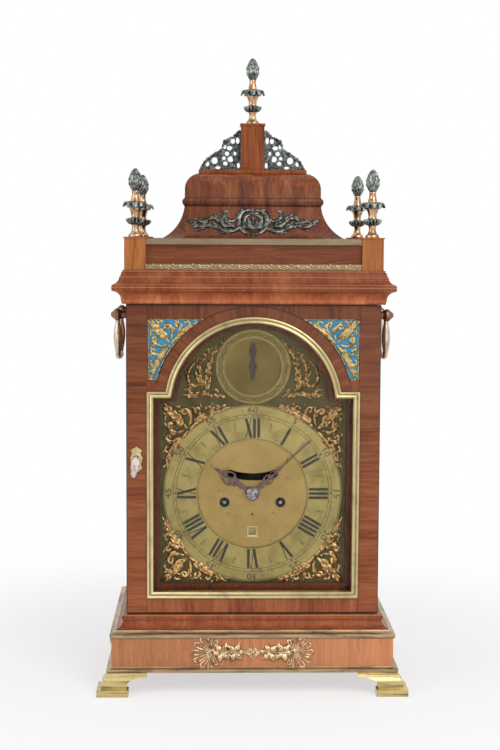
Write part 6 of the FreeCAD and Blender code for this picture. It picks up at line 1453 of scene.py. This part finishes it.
class CLOCK_OT_plinth_mounts(ClockOperator):
    """Gilt double anthemions on the front and sides of the plinth"""
    bl_idname = "clock.plinth_mounts"
    bl_label = "Plinth mounts"

    def execute(self, context):
        z = (PLINTH_PANEL_Z + PLINTH_HIGH.z) / 2
        strokes = [(moved(points, 0, z, side), radii) for points, radii in self.half() for side in (-1, 1)]
        corners = moved(((0, 5.6), (6.6, 0), (0, -5.6), (-6.6, 0)), 0, z)
        for index, corner in enumerate(corners):
            after = corners[(index + 1) % 4]
            strokes.append(([corner, corner, after, after], (0.8, 0.8)))
        for step in (-2.2, 0.0, 2.2):
            for slant in (1, -1):
                strokes.append((moved([(step + run, slant * (step * 0.85 - run * 6 / 7)) for run in (-2.8, 0.0, 2.8)],
                                      0, z), (0.7, 0.9, 0.7)))
        strokes.append(([(-1, z), (0, z), (1, z)], (0.8, 1.6, 0.8)))
        for word, sides, place in (
                ("front", 2, facing(PLINTH_LOW.y - 0.3, 0.85)),
                ("right", 1, lambda y, up, lift: (PLINTH_HIGH.x + 0.3 + lift * 0.85, y, up)),
                ("left", 1, lambda y, up, lift: (PLINTH_LOW.x - 0.3 - lift * 0.85, y, up))):
            mount = finished(cast(strokes, place, sides), "plinth_anthemion_" + word, "mount_gilt", "case")
            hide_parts("plinth_mounts")
        return {"FINISHED"}

    def half(self):
        """Right half of a mount about its middle: the fan, two flowers and the bar to the centre."""
        strokes = []
        for index in range(9):
            strokes += self.rib(39.0, 19.0 - 0.42 * abs(index - 4) ** 1.9, 90 + (index - 4) * 28.0)
        strokes.append((curl(38.5, 0, 2.4, 2.2, 0, 360, 10), (1.2, 1.4, 1.2)))
        for x, size, leans in ((29.5, 10.6, (-38, 28, 88, 152, 218)), (17.0, 10.4, (-34, 34, 146, 214, 270))):
            for lean in leans:
                strokes.append(leaf(x - 0.5, 0.0, size, lean, 14, 0.33))
                strokes.append(leaf(x, 0.0, size * 0.62, lean + 32, 30, 0.26))
            strokes.append(([(x - 2.2, 0), (x, 0), (x + 1.2, 0)], (1.0, 2.6, 1.0)))
        for lean in (40, 90, 140):
            strokes.append(leaf(25.5, 0.0, 6.0, lean, 0, 0.24))
            strokes.append(leaf(24.0, 0.0, 6.0, -lean, 0, 0.24))
        strokes.append(([(14, 0), (10, 0), (7, 0)], (0.9, 0.7, 0.9)))
        return strokes

    def rib(self, x, size, lean):
        """One open petal of the fan: two ribs that part from the root and meet in a beaded head."""
        sine, cosine = math.sin(math.radians(lean)), math.cos(math.radians(lean))
        outline = (0.14, 0.01), (0.5, 0.07), (0.78, 0.13), (0.93, 0.13), (0.985, 0.0)
        return [([(x + size * (along * sine + side * across * cosine), size * (along * cosine - side * across * sine))
                  for along, across in outline], (0.5, 0.6, 0.8, 1.1, 1.0)) for side in (-1, 1)]


class CLOCK_OT_movement(ClockOperator):
    """Finish of the movement behind the dial, with painted shade for the parts seen through the slot of the dial."""
    bl_idname = "clock.movement"
    bl_label = "Movement"

    def execute(self, context):
        dress("fusee_metal", "going_fusee", "strike_fusee")
        dress("movement_brass", "going_barrel", "strike_barrel", "centre_arbor", "contrate_wheel", "crown_wheel",
              "pin_wheel", "locking_wheel", "fly", "movement_front_plate", "movement_back_plate", "back_plate_cocks")
        dress("bell_metal", "hour_bell")
        # Painted shade: the cocks and wheels seen through the slot are near-black.
        dress("blackened_brass", "front_plate_cocks", "hour_wheel", "minute_wheel")
        dress("pendulum_metal", "pendulum")
        dress("polished_steel", "hammer")
        # A near-black sheet before the front plate: painted shade behind the slot.
        low, high = span("movement_front_plate")
        top = min(high.z - 1.0, DIAL_Z + 34.0)
        shade_sheet = pierced([[(-34, DIAL_Z + 4), (-34, top), (34, top), (34, DIAL_Z + 4)]], 0.4, 0.05,
                         facing(low.y - 0.2))
        finished(shade_sheet, "slot_ground", "blackened_brass", "case")
        self.back_scrolls()
        return {"FINISHED"}

    def back_scrolls(self):
        """Engraved foliage on the back plate, filled with wax."""
        low, high = span("movement_back_plate")
        middle = (low.z + high.z) / 2
        half_x, half_z = high.x - 7, (high.z - low.z) / 2 - 9
        border = [[(-1, side), (1, side)] for side in (-1, 1)] + [[(side, -1), (side, 1)] for side in (-1, 1)]
        strokes = [([(x * half_x, middle + z * half_z) for x, z in line], (0.3, 0.3)) for line in border]
        for line in (((8, -48), (20, -50), (32, -42), (31, -28), (20, -23), (13, -32), (20, -38)),
                     ((34, -18), (36, 0), (30, 12), (20, 10), (18, 0), (25, -3)),
                     ((6, 20), (16, 27), (30, 24), (37, 34), (33, 47), (22, 48), (19, 40))):
            for side in (-1, 1):
                spots = [(side * a * half_x / 42, middle + b * half_z / 54) for a, b in line]
                strokes += sprig(spots, (0.25, 0.5, 0.25), 14, 7.0, side * 55.0, 0.05, 0.1)
        engraving = cast(strokes, lambda a, b, lift: (a, high.y + max(lift, 0.0) * 0.1, b), 1, 3)
        finished(engraving, "back_plate_scrolls", "black_wax", "case")


# ---------------------------------------------------------------- panel and registration
OPERATORS = (CLOCK_OT_stage, CLOCK_OT_case, CLOCK_OT_brasswork, CLOCK_OT_escutcheon, CLOCK_OT_door,
             CLOCK_OT_door_frets, CLOCK_OT_dial, CLOCK_OT_spandrels, CLOCK_OT_hands, CLOCK_OT_finials,
             CLOCK_OT_top_frets, CLOCK_OT_bell_mount, CLOCK_OT_gallery, CLOCK_OT_plinth_mounts, CLOCK_OT_movement)
GROUPS = {"clock_finishes": ClockFinishes, "clock_sizes": ClockSizes, "clock_studio": ClockStudio}


class CLOCK_PT_panel(bpy.types.Panel):
    """Sizes, finishes and steps of the clock's dressing"""
    bl_label = "Bracket clock"
    bl_idname = "CLOCK_PT_panel"
    bl_space_type = "VIEW_3D"
    bl_region_type = "UI"
    bl_category = "Bracket clock"

    def draw(self, context):
        for name, group in GROUPS.items():
            box = self.layout.box()
            for key in group.__annotations__:
                box.prop(getattr(context.scene, name), key)
        for operator in OPERATORS:
            self.layout.operator(operator.bl_idname)


def register():
    """Adds the settings, the operators and the panel."""
    for name, group in GROUPS.items():
        bpy.utils.register_class(group)
        setattr(bpy.types.Scene, name, bpy.props.PointerProperty(type=group))
    for kind in (*OPERATORS, CLOCK_PT_panel):
        bpy.utils.register_class(kind)


def unregister():
    """Takes them away again."""
    for kind in (CLOCK_PT_panel, *reversed(OPERATORS)):
        bpy.utils.unregister_class(kind)
    for name, group in GROUPS.items():
        delattr(bpy.types.Scene, name)
        bpy.utils.unregister_class(group)


def main():
    """Runs the operators in order."""
    register()
    for operator in OPERATORS:
        family, action = operator.bl_idname.split(".")
        getattr(getattr(bpy.ops, family), action)()


if __name__ == "__main__":
    main()
